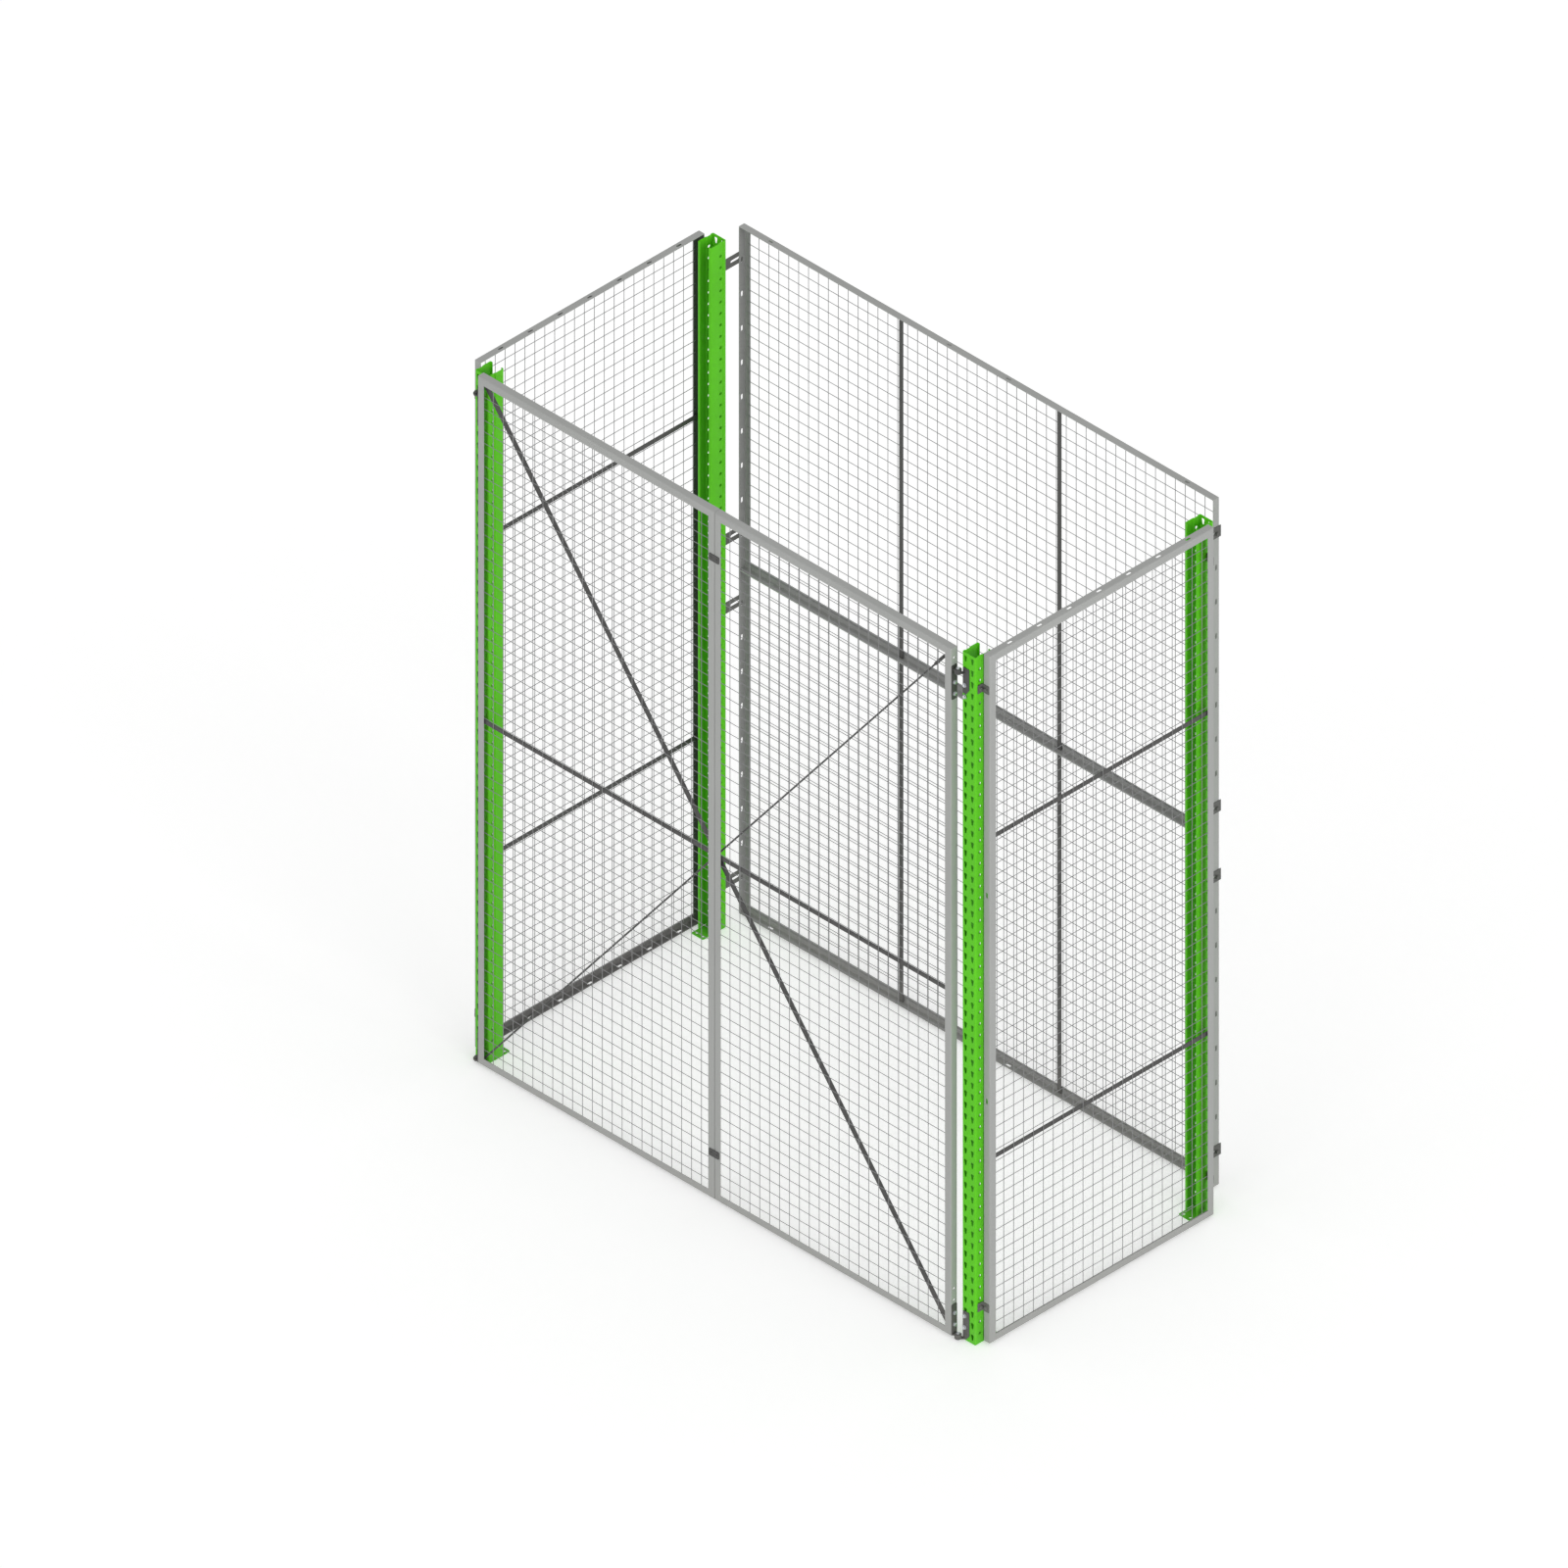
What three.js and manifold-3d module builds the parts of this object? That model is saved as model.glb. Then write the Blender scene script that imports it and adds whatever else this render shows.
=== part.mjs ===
// Wire mesh cell for one bay of pallet racking: four perforated posts, mesh side panels, a two-panel
// mesh back wall held off on brackets, and one wide mesh door on pin hinges.
// Millimetres, +Z up. The origin is on the floor, in the middle of the whole cell.
// The door faces -Y and hangs on the right-hand front post (+X).

import * as THREE from 'three';
import { mergeVertices } from 'three/addons/utils/BufferGeometryUtils.js';
import Module from 'manifold-3d';

const wasm = await Module();
wasm.setup();

// ---------------------------------------------------------------------------------------------
// Driving dimensions
// ---------------------------------------------------------------------------------------------

// Posts, side panels and door are all cut to one height.
const CELL_HEIGHT = 3000;

// The rack bay that carries the mesh.
const RACK_WIDTH = 2524;
const RACK_DEPTH = 1200;
const POST_FACE = 67;
const POST_DEPTH = 78;
const POST_WALL = 2.5;
const POST_CORNER = 5;
const POST_LIP = 17;
const WAIST_STEP = 3;
const WAIST_START = 12;
const WAIST_END = 32;

// Punching in the post's face. Every second row of the real 50 mm pitch is modelled.
const PUNCH_PITCH = 50;
const PUNCH_EVERY = 2;
const PUNCH_FIRST = 25;
const PUNCH_HEIGHT = 27;
const PUNCH_TOP_WIDTH = 15;
const PUNCH_FOOT_WIDTH = 8;
const PUNCH_GAUGE = 34;

// Foot plates under the posts.
const FOOT_WIDTH = 60;
const FOOT_LENGTH = 112;
const FOOT_SET_IN = 2;
const FOOT_THICKNESS = 3;
const FOOT_CORNER = 4;
const ANCHOR_HOLE = 11;
const ANCHOR_GAUGE = 32;
const ANCHOR_EDGE = 15;

// Panels: a ring of rolled angle round a welded mesh, with flat bars across it.
const ANGLE_LEG = 30;
const ANGLE_WALL = 2.5;
const WIRE = 4;
const WIRE_PITCH = 50;
const WIRE_EVERY = 5;
const MESH_EDGE = 8;
const BAR_WIDTH = 20;
const BAR_THICKNESS = 3;
const PANEL_LIFT = 12;
const SLOT_PITCH = 150;
const SLOT_LENGTH = 25;
const SLOT_WIDTH = 10;
const SLOT_FROM_END = 110;

// Side panels stand outside the posts.
const SIDE_WIDTH = 1130;
const SIDE_GAP = 8;
const SIDE_BAR_FROM_END = 800;
const SIDE_LONG_SLOTS = [3];

// The back wall is two wide panels, one on the other, behind the posts.
const BACK_WIDTH = 2394;
const BACK_SHIFT = -18;
const BACK_LONG_SLOTS = [1, 7];
const BACK_STANDOFF = 83;

// The door is two tall panels bolted together side by side.
const DOOR_WIDTH = 2387;
const DOOR_LIFT = 14;
const DOOR_SEAM = 1;
const DOOR_REAR_GAP = 1;
const STILE_HOLE = 10;
const STILE_HOLES_FROM_END = [45, 95, 150, 200];
const HINGE_GAP = 26;

// Door bracing: a flat compression bar on one diagonal, a round tie rod on the other.
const BRACE_WIDTH = 20;
const BRACE_THICKNESS = 3;
const BRACE_DEPTH = 14;
const ROD_DIAMETER = 7;
const ROD_DEPTH = 22;
const TENSIONER_DIAMETER = 13;
const TENSIONER_LENGTH = 64;
const TENSIONER_FROM_CORNER = 80;
const CLIP_WIDTH = 50;
const CLIP_HEIGHT = 30;
const CLIP_FROM_END = 200;
const WINDOW_MARGIN = 4;

// Hinges, latch and brackets.
const PLATE = 3;
const LEAF_WIDTH = 26;
const LEAF_LONG_END = 131;
const LEAF_SHORT_END = 17;
const POST_LEAF_WIDTH = 31;
const POST_LEAF_SET_IN = 6;
const POST_LEAF_LONG_END = 112;
const POST_LEAF_CORNER = 20;
const POST_TAB_ROOT = 16;
const TAB_RADIUS = 12;
const TAB_THICKNESS = 4;
const EYE_DIAMETER = 27;
const EYE_HEIGHT = 9;
const PIN_DIAMETER = 10;
const PIN_CLEARANCE = 0.3;
const PIN_OUT = 21;
const PIN_FROM_BOTTOM = 3;
const PIN_FROM_TOP = 92;
const PIN_HEAD = 14;
const PIN_HEAD_HEIGHT = 6;
const LATCH_GAP = 0.5;
const LATCH_DROP = 3;
const KEEPER_WIDTH = 22;
const KEEPER_HEIGHT = 10;
const STANDOFF_HEIGHT = 48;
const STANDOFF_OVERHANG = 5;
const STANDOFF_FROM_END = 150;
const STANDOFF_RAISE_LEFT = 13;
const STANDOFF_RAISE_RIGHT = 4;
const FOOT_MARGIN = 14;
const ADJUST_SLOT_LENGTH = 50;
const ADJUST_SLOT_WIDTH = 12;
const SIDE_BRACKET_HEIGHT = 35;
const SIDE_BRACKET_LEG = 25;
const SIDE_BRACKET_FROM_END = 150;
const SIDE_BRACKET_SHORT = 4;

// Paint gap between pieces that touch.
const SEAT = 0.3;

// ---------------------------------------------------------------------------------------------
// Places that follow from the sizes
// ---------------------------------------------------------------------------------------------

const backHeight = (CELL_HEIGHT - SEAT) / 2;

const frontReach = DOOR_REAR_GAP + ANGLE_LEG;
const backReach = BACK_STANDOFF + ANGLE_LEG;
const rackFront = (frontReach - backReach - RACK_DEPTH) / 2;
const rackRear = rackFront + RACK_DEPTH;
const rackSide = RACK_WIDTH / 2;
const postBase = FOOT_THICKNESS + SEAT;
const postInner = rackSide - POST_FACE;

const doorFront = rackFront - frontReach;
const doorRight = postInner - HINGE_GAP;
const doorLeft = doorRight - DOOR_WIDTH;
const doorTop = DOOR_LIFT + CELL_HEIGHT;

const backFront = rackRear + BACK_STANDOFF;
const backRear = backFront + ANGLE_LEG;

const sideFace = rackSide + SIDE_GAP + ANGLE_LEG;
const rackMiddle = (rackFront + rackRear) / 2;
const sideFront = rackMiddle - SIDE_WIDTH / 2;
const sideRear = rackMiddle + SIDE_WIDTH / 2;

const bandMiddle = (ANGLE_WALL + ANGLE_LEG) / 2;
const meshDepth = ANGLE_WALL + SEAT;
const barDepth = meshDepth + WIRE + SEAT;

const pinX = doorRight + PIN_OUT;
const pinY = doorFront + ANGLE_LEG / 2;
const lowerTab = DOOR_LIFT + PIN_FROM_BOTTOM;
const upperTab = doorTop - PIN_FROM_TOP;

// ---------------------------------------------------------------------------------------------
// Finishes
// ---------------------------------------------------------------------------------------------

const finish = (color, roughness, metalness) =>
  new THREE.MeshStandardMaterial({ color, roughness, metalness });

const greenPaint = () => finish(0x58b82c, 0.45, 0.0);
const greyPaint = () => finish(0xa4a4a2, 0.5, 0.1);
const wireGrey = () => finish(0x9a9a98, 0.5, 0.2);
const darkSteel = () => finish(0x55554f, 0.5, 0.5);
const zinc = () => finish(0xb9bcc0, 0.3, 0.9);

// ---------------------------------------------------------------------------------------------
// Solid helpers
// ---------------------------------------------------------------------------------------------

// A closed geometry with shared corners, as a solid that can be cut and joined.
function toSolid(geometry) {
  const bare = geometry.clone();
  bare.deleteAttribute('normal');
  bare.deleteAttribute('uv');
  const merged = mergeVertices(bare, 1e-4);
  const mesh = new wasm.Mesh({
    numProp: 3,
    vertProperties: Float32Array.from(merged.attributes.position.array),
    triVerts: Uint32Array.from(merged.index.array),
  });
  return new wasm.Manifold(mesh);
}

function toGeometry(solid) {
  const mesh = solid.getMesh();
  const geometry = new THREE.BufferGeometry();
  geometry.setAttribute('position', new THREE.BufferAttribute(mesh.vertProperties, 3));
  geometry.setIndex(new THREE.BufferAttribute(mesh.triVerts, 1));
  geometry.computeVertexNormals();
  return geometry;
}

function cut(body, tools) {
  let solid = toSolid(body);
  for (const tool of tools) solid = solid.subtract(toSolid(tool));
  return toGeometry(solid);
}

function join(pieces) {
  let solid = toSolid(pieces[0]);
  for (const piece of pieces.slice(1)) solid = solid.add(toSolid(piece));
  return toGeometry(solid);
}

// A box between two values on each axis, given in either order.
function block(xa, xb, ya, yb, za, zb) {
  const box = new THREE.BoxGeometry(Math.abs(xb - xa), Math.abs(yb - ya), Math.abs(zb - za));
  return box.translate((xa + xb) / 2, (ya + yb) / 2, (za + zb) / 2);
}

// A flat outline in x and y, raised from z = low to z = high.
function raised(shape, low, high) {
  const options = { depth: high - low, bevelEnabled: false, curveSegments: 6 };
  return new THREE.ExtrudeGeometry(shape, options).translate(0, 0, low);
}

// A flat outline in x and z, given thickness from y = near to y = far.
function upright(shape, near, far) {
  const options = { depth: far - near, bevelEnabled: false, curveSegments: 3 };
  return new THREE.ExtrudeGeometry(shape, options).rotateX(Math.PI / 2).translate(0, far, 0);
}

function outline(points) {
  return new THREE.Shape(points.map(([x, y]) => new THREE.Vector2(x, y)));
}

function roundHole(x, y, diameter) {
  const hole = new THREE.Path();
  hole.absarc(x, y, diameter / 2, 0, Math.PI * 2, true);
  return hole;
}

const parts = new THREE.Group();

function place(owner, name, geometry, material) {
  const mesh = new THREE.Mesh(geometry, material);
  mesh.name = name;
  owner.add(mesh);
  return mesh;
}

// ---------------------------------------------------------------------------------------------
// Posts and feet
// ---------------------------------------------------------------------------------------------

// Gives an open line of points a wall on its left side, with mitred corners.
function thickened(line, wall) {
  const inner = line.map(([x, y], i) => {
    const before = line[Math.max(i - 1, 0)];
    const after = line[Math.min(i + 1, line.length - 1)];
    const a = i > 0 ? [x - before[0], y - before[1]] : [after[0] - x, after[1] - y];
    const b = i < line.length - 1 ? [after[0] - x, after[1] - y] : a;
    const na = [-a[1] / Math.hypot(...a), a[0] / Math.hypot(...a)];
    const nb = [-b[1] / Math.hypot(...b), b[0] / Math.hypot(...b)];
    const reach = wall / (1 + na[0] * nb[0] + na[1] * nb[1]);
    return [x + (na[0] + nb[0]) * reach, y + (na[1] + nb[1]) * reach];
  });
  return line.concat(inner.reverse());
}

// Cold-rolled section: closed face at y = 0, waisted flanges, lips turned in at the open back.
function postSection() {
  const half = POST_FACE / 2;
  const waist = half - WAIST_STEP;
  const slope = WAIST_STEP;
  const rightSide = [
    [half - POST_CORNER, 0],
    [half, POST_CORNER],
    [half, WAIST_START],
    [waist, WAIST_START + slope],
    [waist, WAIST_END - slope],
    [half, WAIST_END],
    [half, POST_DEPTH],
    [half - POST_LIP, POST_DEPTH],
  ];
  const leftSide = rightSide.map(([x, y]) => [-x, y]).reverse();
  return outline(thickened(leftSide.concat(rightSide), POST_WALL));
}

// Two columns of tapered slots punched through the post's face.
function postPunches() {
  const rows = Math.floor((CELL_HEIGHT - PUNCH_FIRST) / (PUNCH_PITCH * PUNCH_EVERY)) + 1;
  const top = PUNCH_TOP_WIDTH / 2;
  const foot = PUNCH_FOOT_WIDTH / 2;
  const half = PUNCH_HEIGHT / 2;
  const punches = [];
  for (let row = 0; row < rows; row += 1) {
    const z = PUNCH_FIRST + row * PUNCH_PITCH * PUNCH_EVERY;
    for (const x of [-PUNCH_GAUGE / 2, PUNCH_GAUGE / 2]) {
      const corners = [[x - foot, z - half], [x + foot, z - half], [x + top, z + half], [x - top, z + half]];
      punches.push(upright(outline(corners), -1, POST_WALL + 1));
    }
  }
  return punches;
}

// The foot plate runs out past the post's open back, where its anchors go.
function footPlate() {
  const side = FOOT_WIDTH / 2;
  const end = FOOT_SET_IN + FOOT_LENGTH;
  const plate = outline([
    [-side, FOOT_SET_IN],
    [side, FOOT_SET_IN],
    [side, end - FOOT_CORNER],
    [side - FOOT_CORNER, end],
    [FOOT_CORNER - side, end],
    [-side, end - FOOT_CORNER],
  ]);
  for (const x of [-ANCHOR_GAUGE / 2, ANCHOR_GAUGE / 2]) {
    plate.holes.push(roundHole(x, end - ANCHOR_EDGE, ANCHOR_HOLE));
  }
  return new THREE.ExtrudeGeometry(plate, { depth: FOOT_THICKNESS, bevelEnabled: false, curveSegments: 4 });
}

const postGeometry = cut(raised(postSection(), 0, CELL_HEIGHT), postPunches());
const footGeometry = footPlate();

for (const [end, y, turn] of [['front', rackFront, 0], ['rear', rackRear, Math.PI]]) {
  for (const [side, x] of [['left', POST_FACE / 2 - rackSide], ['right', rackSide - POST_FACE / 2]]) {
    const stand = new THREE.Group();
    stand.position.set(x, y, 0);
    stand.rotation.z = turn;
    parts.add(stand);
    place(stand, `post_${end}_${side}`, postGeometry, greenPaint()).position.z = postBase;
    place(stand, `foot_${end}_${side}`, footGeometry, greenPaint());
  }
}

// ---------------------------------------------------------------------------------------------
// Mesh panels, each in its own frame: x across from the middle, z up from its lower edge,
// y inwards from the outer face
// ---------------------------------------------------------------------------------------------

// Places along a side, from its middle, where it is slotted: every pitch, or only the steps given.
function slotPlaces(length, steps) {
  const count = Math.floor((length - 2 * SLOT_FROM_END) / SLOT_PITCH) + 1;
  const all = Array.from({ length: count }, (_, i) => (i - (count - 1) / 2) * SLOT_PITCH);
  return steps ? steps.flatMap((step) => [-step * SLOT_PITCH, step * SLOT_PITCH]) : all;
}

// Cuts an oblong slot with pointed ends, lying along x, through a lying side of the ring.
function slotCutter() {
  const half = SLOT_LENGTH / 2;
  const edge = SLOT_WIDTH / 2;
  const slot = outline([
    [-half, 0],
    [edge - half, -edge],
    [half - edge, -edge],
    [half, 0],
    [half - edge, edge],
    [edge - half, edge],
  ]);
  return raised(slot, -2 * ANGLE_WALL, 2 * ANGLE_WALL).translate(0, bandMiddle, 0);
}

// Slots through all four sides of a panel's ring. The long sides have only a few.
function panelSlots(width, height, longSteps) {
  const cutters = [];
  for (const x of slotPlaces(width, width > height ? longSteps : null)) {
    for (const z of [0, height]) cutters.push(slotCutter().translate(x, 0, z));
  }
  for (const z of slotPlaces(height, height > width ? longSteps : null)) {
    for (const x of [-width / 2, width / 2]) {
      cutters.push(slotCutter().rotateY(-Math.PI / 2).translate(x, 0, height / 2 + z));
    }
  }
  return cutters;
}

function angleRing(width, height, cuts) {
  const side = width / 2;
  const inside = side - ANGLE_WALL;
  const view = side - ANGLE_LEG;
  const body = block(-side, side, 0, ANGLE_LEG, 0, height);
  const cavity = block(-inside, inside, ANGLE_WALL, ANGLE_LEG + 1, ANGLE_WALL, height - ANGLE_WALL);
  const opening = block(-view, view, -1, ANGLE_WALL + 1, ANGLE_LEG, height - ANGLE_LEG);
  return cut(body, [cavity, opening, ...cuts]);
}

// The welded mesh as a flat lattice that holds every fifth wire each way.
function wireMesh(width, height) {
  const side = width / 2 - MESH_EDGE;
  const low = MESH_EDGE;
  const high = height - MESH_EDGE;
  const step = WIRE_PITCH * WIRE_EVERY;
  const across = Math.max(1, Math.round((2 * side) / step));
  const up = Math.max(1, Math.round((high - low) / step));
  const cellWide = (2 * side - WIRE) / across;
  const cellHigh = (high - low - WIRE) / up;
  const gaps = [];
  for (let i = 0; i < across; i += 1) {
    for (let j = 0; j < up; j += 1) {
      const x = -side + WIRE + i * cellWide;
      const z = low + WIRE + j * cellHigh;
      gaps.push(block(x, x + cellWide - WIRE, 0, ANGLE_LEG, z, z + cellHigh - WIRE));
    }
  }
  return cut(block(-side, side, meshDepth, meshDepth + WIRE, low, high), gaps);
}

function crossBar(width, z) {
  const end = width / 2 - ANGLE_WALL - SEAT;
  return block(-end, end, barDepth, barDepth + BAR_THICKNESS, z - BAR_WIDTH / 2, z + BAR_WIDTH / 2);
}

function standingBar(height, x) {
  const low = ANGLE_WALL + SEAT;
  return block(x - BAR_WIDTH / 2, x + BAR_WIDTH / 2, barDepth, barDepth + BAR_THICKNESS, low, height - low);
}

function panel(name, width, height, cuts) {
  const group = new THREE.Group();
  place(group, `${name}_frame`, angleRing(width, height, cuts), greyPaint());
  place(group, `${name}_mesh`, wireMesh(width, height), wireGrey());
  return group;
}

for (const [side, sign] of [['left', -1], ['right', 1]]) {
  const slots = panelSlots(SIDE_WIDTH, CELL_HEIGHT, SIDE_LONG_SLOTS);
  const group = panel(`${side}_panel`, SIDE_WIDTH, CELL_HEIGHT, slots);
  const upperBar = CELL_HEIGHT - SIDE_BAR_FROM_END;
  place(group, `${side}_panel_bar_lower`, crossBar(SIDE_WIDTH, SIDE_BAR_FROM_END), darkSteel());
  place(group, `${side}_panel_bar_upper`, crossBar(SIDE_WIDTH, upperBar), darkSteel());
  group.position.set(sign * sideFace, rackMiddle, PANEL_LIFT);
  group.rotation.z = sign * Math.PI / 2;
  parts.add(group);
}

for (const [level, z] of [['lower', PANEL_LIFT], ['upper', PANEL_LIFT + backHeight + SEAT]]) {
  const slots = panelSlots(BACK_WIDTH, backHeight, BACK_LONG_SLOTS);
  const group = panel(`back_${level}`, BACK_WIDTH, backHeight, slots);
  place(group, `back_${level}_bar_left`, standingBar(backHeight, BACK_WIDTH / 6), darkSteel());
  place(group, `back_${level}_bar_right`, standingBar(backHeight, -BACK_WIDTH / 6), darkSteel());
  group.position.set(BACK_SHIFT, backRear, z);
  group.rotation.z = Math.PI;
  parts.add(group);
}

// ---------------------------------------------------------------------------------------------
// Door
// ---------------------------------------------------------------------------------------------

const door = new THREE.Group();
door.position.set((doorLeft + doorRight) / 2, doorFront, DOOR_LIFT);
parts.add(door);

const leafWidth = (DOOR_WIDTH - DOOR_SEAM) / 2;
const leafMiddle = (leafWidth + DOOR_SEAM) / 2;
const doorSlope = Math.atan2(CELL_HEIGHT - 2 * ANGLE_WALL, DOOR_WIDTH - 2 * ANGLE_WALL);
const doorDiagonal = Math.hypot(CELL_HEIGHT - 2 * ANGLE_WALL, DOOR_WIDTH - 2 * ANGLE_WALL);
const rodFar = ROD_DEPTH + TENSIONER_DIAMETER / 2;

// Where the brace and the rod cross the two middle stiles, these have a window.
const windowHalf = BRACE_WIDTH / 2 / Math.cos(doorSlope) + (ANGLE_WALL + DOOR_SEAM) * Math.tan(doorSlope)
  + WINDOW_MARGIN;
const braceWindow = (x) => block(x - ANGLE_WALL - 1, x + ANGLE_WALL + 1, BRACE_DEPTH - 1, rodFar,
  CELL_HEIGHT / 2 - windowHalf, CELL_HEIGHT / 2 + windowHalf);

// Round holes near both ends of an outer stile, for a hinge leaf or a latch tab.
const stileHoles = (x) => STILE_HOLES_FROM_END.flatMap((drop) => [drop, CELL_HEIGHT - drop].map((z) => {
  const hole = new THREE.CylinderGeometry(STILE_HOLE / 2, STILE_HOLE / 2, 4 * ANGLE_WALL, 8);
  return hole.rotateZ(Math.PI / 2).translate(x, bandMiddle, z);
}));

for (const [side, sign] of [['left', -1], ['right', 1]]) {
  const cuts = [braceWindow(-sign * leafWidth / 2), ...stileHoles(sign * leafWidth / 2)];
  const leaf = panel(`door_${side}`, leafWidth, CELL_HEIGHT, cuts);
  place(leaf, `door_${side}_rail`, crossBar(leafWidth, CELL_HEIGHT / 2), darkSteel());
  leaf.position.x = sign * leafMiddle;
  door.add(leaf);
}

// How far from the inside corner a bar of this width stops when its end is cut square.
const endStop = (width) => (width / 2 * Math.sin(doorSlope) + SEAT) / Math.cos(doorSlope);

function diagonal(geometry, turn) {
  return geometry.rotateY(turn).translate(0, 0, CELL_HEIGHT / 2);
}

const braceLength = doorDiagonal - 2 * endStop(BRACE_WIDTH);
const braceBar = block(-braceLength / 2, braceLength / 2, BRACE_DEPTH, BRACE_DEPTH + BRACE_THICKNESS,
  -BRACE_WIDTH / 2, BRACE_WIDTH / 2);
place(door, 'door_brace', diagonal(braceBar, doorSlope), darkSteel());

// Tie rod turned in one piece with its tensioner: a profile revolved about the rod's line.
function tieRod() {
  const thin = ROD_DIAMETER / 2;
  const fat = TENSIONER_DIAMETER / 2;
  const end = doorDiagonal / 2 - endStop(ROD_DIAMETER);
  const top = end - TENSIONER_FROM_CORNER;
  const low = top - TENSIONER_LENGTH;
  const taper = fat - thin;
  const profile = [
    [0, -end],
    [thin, -end],
    [thin, low - taper],
    [fat, low],
    [fat, top],
    [thin, top + taper],
    [thin, end],
    [0, end],
  ];
  const rod = new THREE.LatheGeometry(profile.map(([x, y]) => new THREE.Vector2(x, y)), 10);
  return rod.rotateZ(-Math.PI / 2).translate(0, ROD_DEPTH, 0);
}

place(door, 'door_tie_rod', diagonal(tieRod(), -doorSlope), darkSteel());

for (const [level, sign] of [['lower', -1], ['upper', 1]]) {
  const z = CELL_HEIGHT / 2 + sign * (CELL_HEIGHT / 2 - CLIP_FROM_END);
  const low = z - CLIP_HEIGHT / 2;
  const clip = block(-CLIP_WIDTH / 2, CLIP_WIDTH / 2, -SEAT - PLATE, -SEAT, low, low + CLIP_HEIGHT);
  place(door, `door_clip_${level}`, clip, darkSteel());
}

// ---------------------------------------------------------------------------------------------
// Hinges and latch
// ---------------------------------------------------------------------------------------------

const pinHole = PIN_DIAMETER + 2 * PIN_CLEARANCE;

// A tab at the height z with a round nose about the point (x, pinY), from the plate at x = root.
function roundTab(x, root, z) {
  const tab = new THREE.Shape();
  const outwards = Math.sign(x - root);
  tab.moveTo(root, pinY - outwards * TAB_RADIUS);
  tab.lineTo(x, pinY - outwards * TAB_RADIUS);
  tab.absarc(x, pinY, TAB_RADIUS, -outwards * Math.PI / 2, outwards * Math.PI / 2, false);
  tab.lineTo(root, pinY + outwards * TAB_RADIUS);
  return raised(tab, z, z + TAB_THICKNESS);
}

// A round eye or a pin hole about an upright line.
function standingRound(x, diameter, low, high) {
  const round = new THREE.CylinderGeometry(diameter / 2, diameter / 2, high - low, 16);
  return round.rotateX(Math.PI / 2).translate(x, pinY, (low + high) / 2);
}

// Plate on the door's outer stile from low to high, with a round tab at the height z.
function stilePlate(stile, outwards, z, low, high) {
  const near = stile + outwards * SEAT;
  const far = near + outwards * PLATE;
  const plate = block(near, far, pinY - LEAF_WIDTH / 2, pinY + LEAF_WIDTH / 2, low, high);
  return [plate, roundTab(stile + outwards * PIN_OUT, near, z)];
}

// Hinge leaf on the door: its tab carries the upper eye.
function doorLeaf(z, low, high) {
  const eye = standingRound(pinX, EYE_DIAMETER, z, z + EYE_HEIGHT);
  const body = join([...stilePlate(doorRight, 1, z, low, high), eye]);
  return cut(body, [standingRound(pinX, pinHole, z - 1, z + EYE_HEIGHT + 1)]);
}

// Latch plate on the door's free edge, with a plain drilled tab.
function latchTab(z, low, high) {
  const hole = standingRound(doorLeft - PIN_OUT, pinHole, z - 1, z + TAB_THICKNESS + 1);
  return cut(join(stilePlate(doorLeft, -1, z, low, high)), [hole]);
}

// Leaf on the post's face. Its arm runs forward to an eye that lies under the door's eye.
function postLeaf(z, low, high) {
  const left = postInner + POST_LEAF_SET_IN;
  const right = left + POST_LEAF_WIDTH;
  const back = rackFront - SEAT;
  const top = z - SEAT;
  const under = top - EYE_HEIGHT;
  const face = outline([
    [left, Math.min(low, under)],
    [left + POST_TAB_ROOT, Math.min(low, under)],
    [right, low + POST_LEAF_CORNER],
    [right, high],
    [left, high],
  ]);
  const arm = outline([
    [left + POST_TAB_ROOT, back],
    [left, back],
    [pinX - EYE_DIAMETER / 3, pinY + EYE_DIAMETER / 3],
    [pinX + EYE_DIAMETER / 3, pinY - EYE_DIAMETER / 6],
  ]);
  const eye = standingRound(pinX, EYE_DIAMETER, under, top);
  const body = join([upright(face, back - PLATE, back), raised(arm, under, under + TAB_THICKNESS), eye]);
  return cut(body, [standingRound(pinX, pinHole, under - 1, top + 1)]);
}

// Pin with a head above the door's eye and a nut below the post's eye.
function hingePin(z) {
  const shank = PIN_DIAMETER / 2;
  const head = PIN_HEAD / 2;
  const under = z - 2 * SEAT - EYE_HEIGHT;
  const over = z + EYE_HEIGHT + SEAT;
  const profile = [
    [0, under - PIN_HEAD_HEIGHT],
    [head, under - PIN_HEAD_HEIGHT],
    [head, under],
    [shank, under],
    [shank, over],
    [head, over],
    [head, over + PIN_HEAD_HEIGHT],
    [0, over + PIN_HEAD_HEIGHT],
  ];
  const pin = new THREE.LatheGeometry(profile.map(([x, y]) => new THREE.Vector2(x, y)), 12);
  return pin.rotateX(Math.PI / 2).translate(pinX, pinY, 0);
}

// Keeper on the left post: a small angle whose drilled nose lies under the latch tab.
function latchKeeper(z) {
  const middle = doorLeft - PIN_OUT;
  const half = KEEPER_WIDTH / 2;
  const back = rackFront - SEAT;
  const top = z - LATCH_GAP;
  const low = top - TAB_THICKNESS;
  const foot = block(middle - half, middle + half, back - PLATE, back, low, low + KEEPER_HEIGHT);
  const nose = new THREE.Shape();
  nose.moveTo(middle - half, back);
  nose.absarc(middle, pinY, half, Math.PI, Math.PI * 2, false);
  nose.lineTo(middle + half, back);
  const hole = standingRound(middle, pinHole, low - 1, top + 1);
  return cut(join([foot, raised(nose, low, top)]), [hole]);
}

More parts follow.
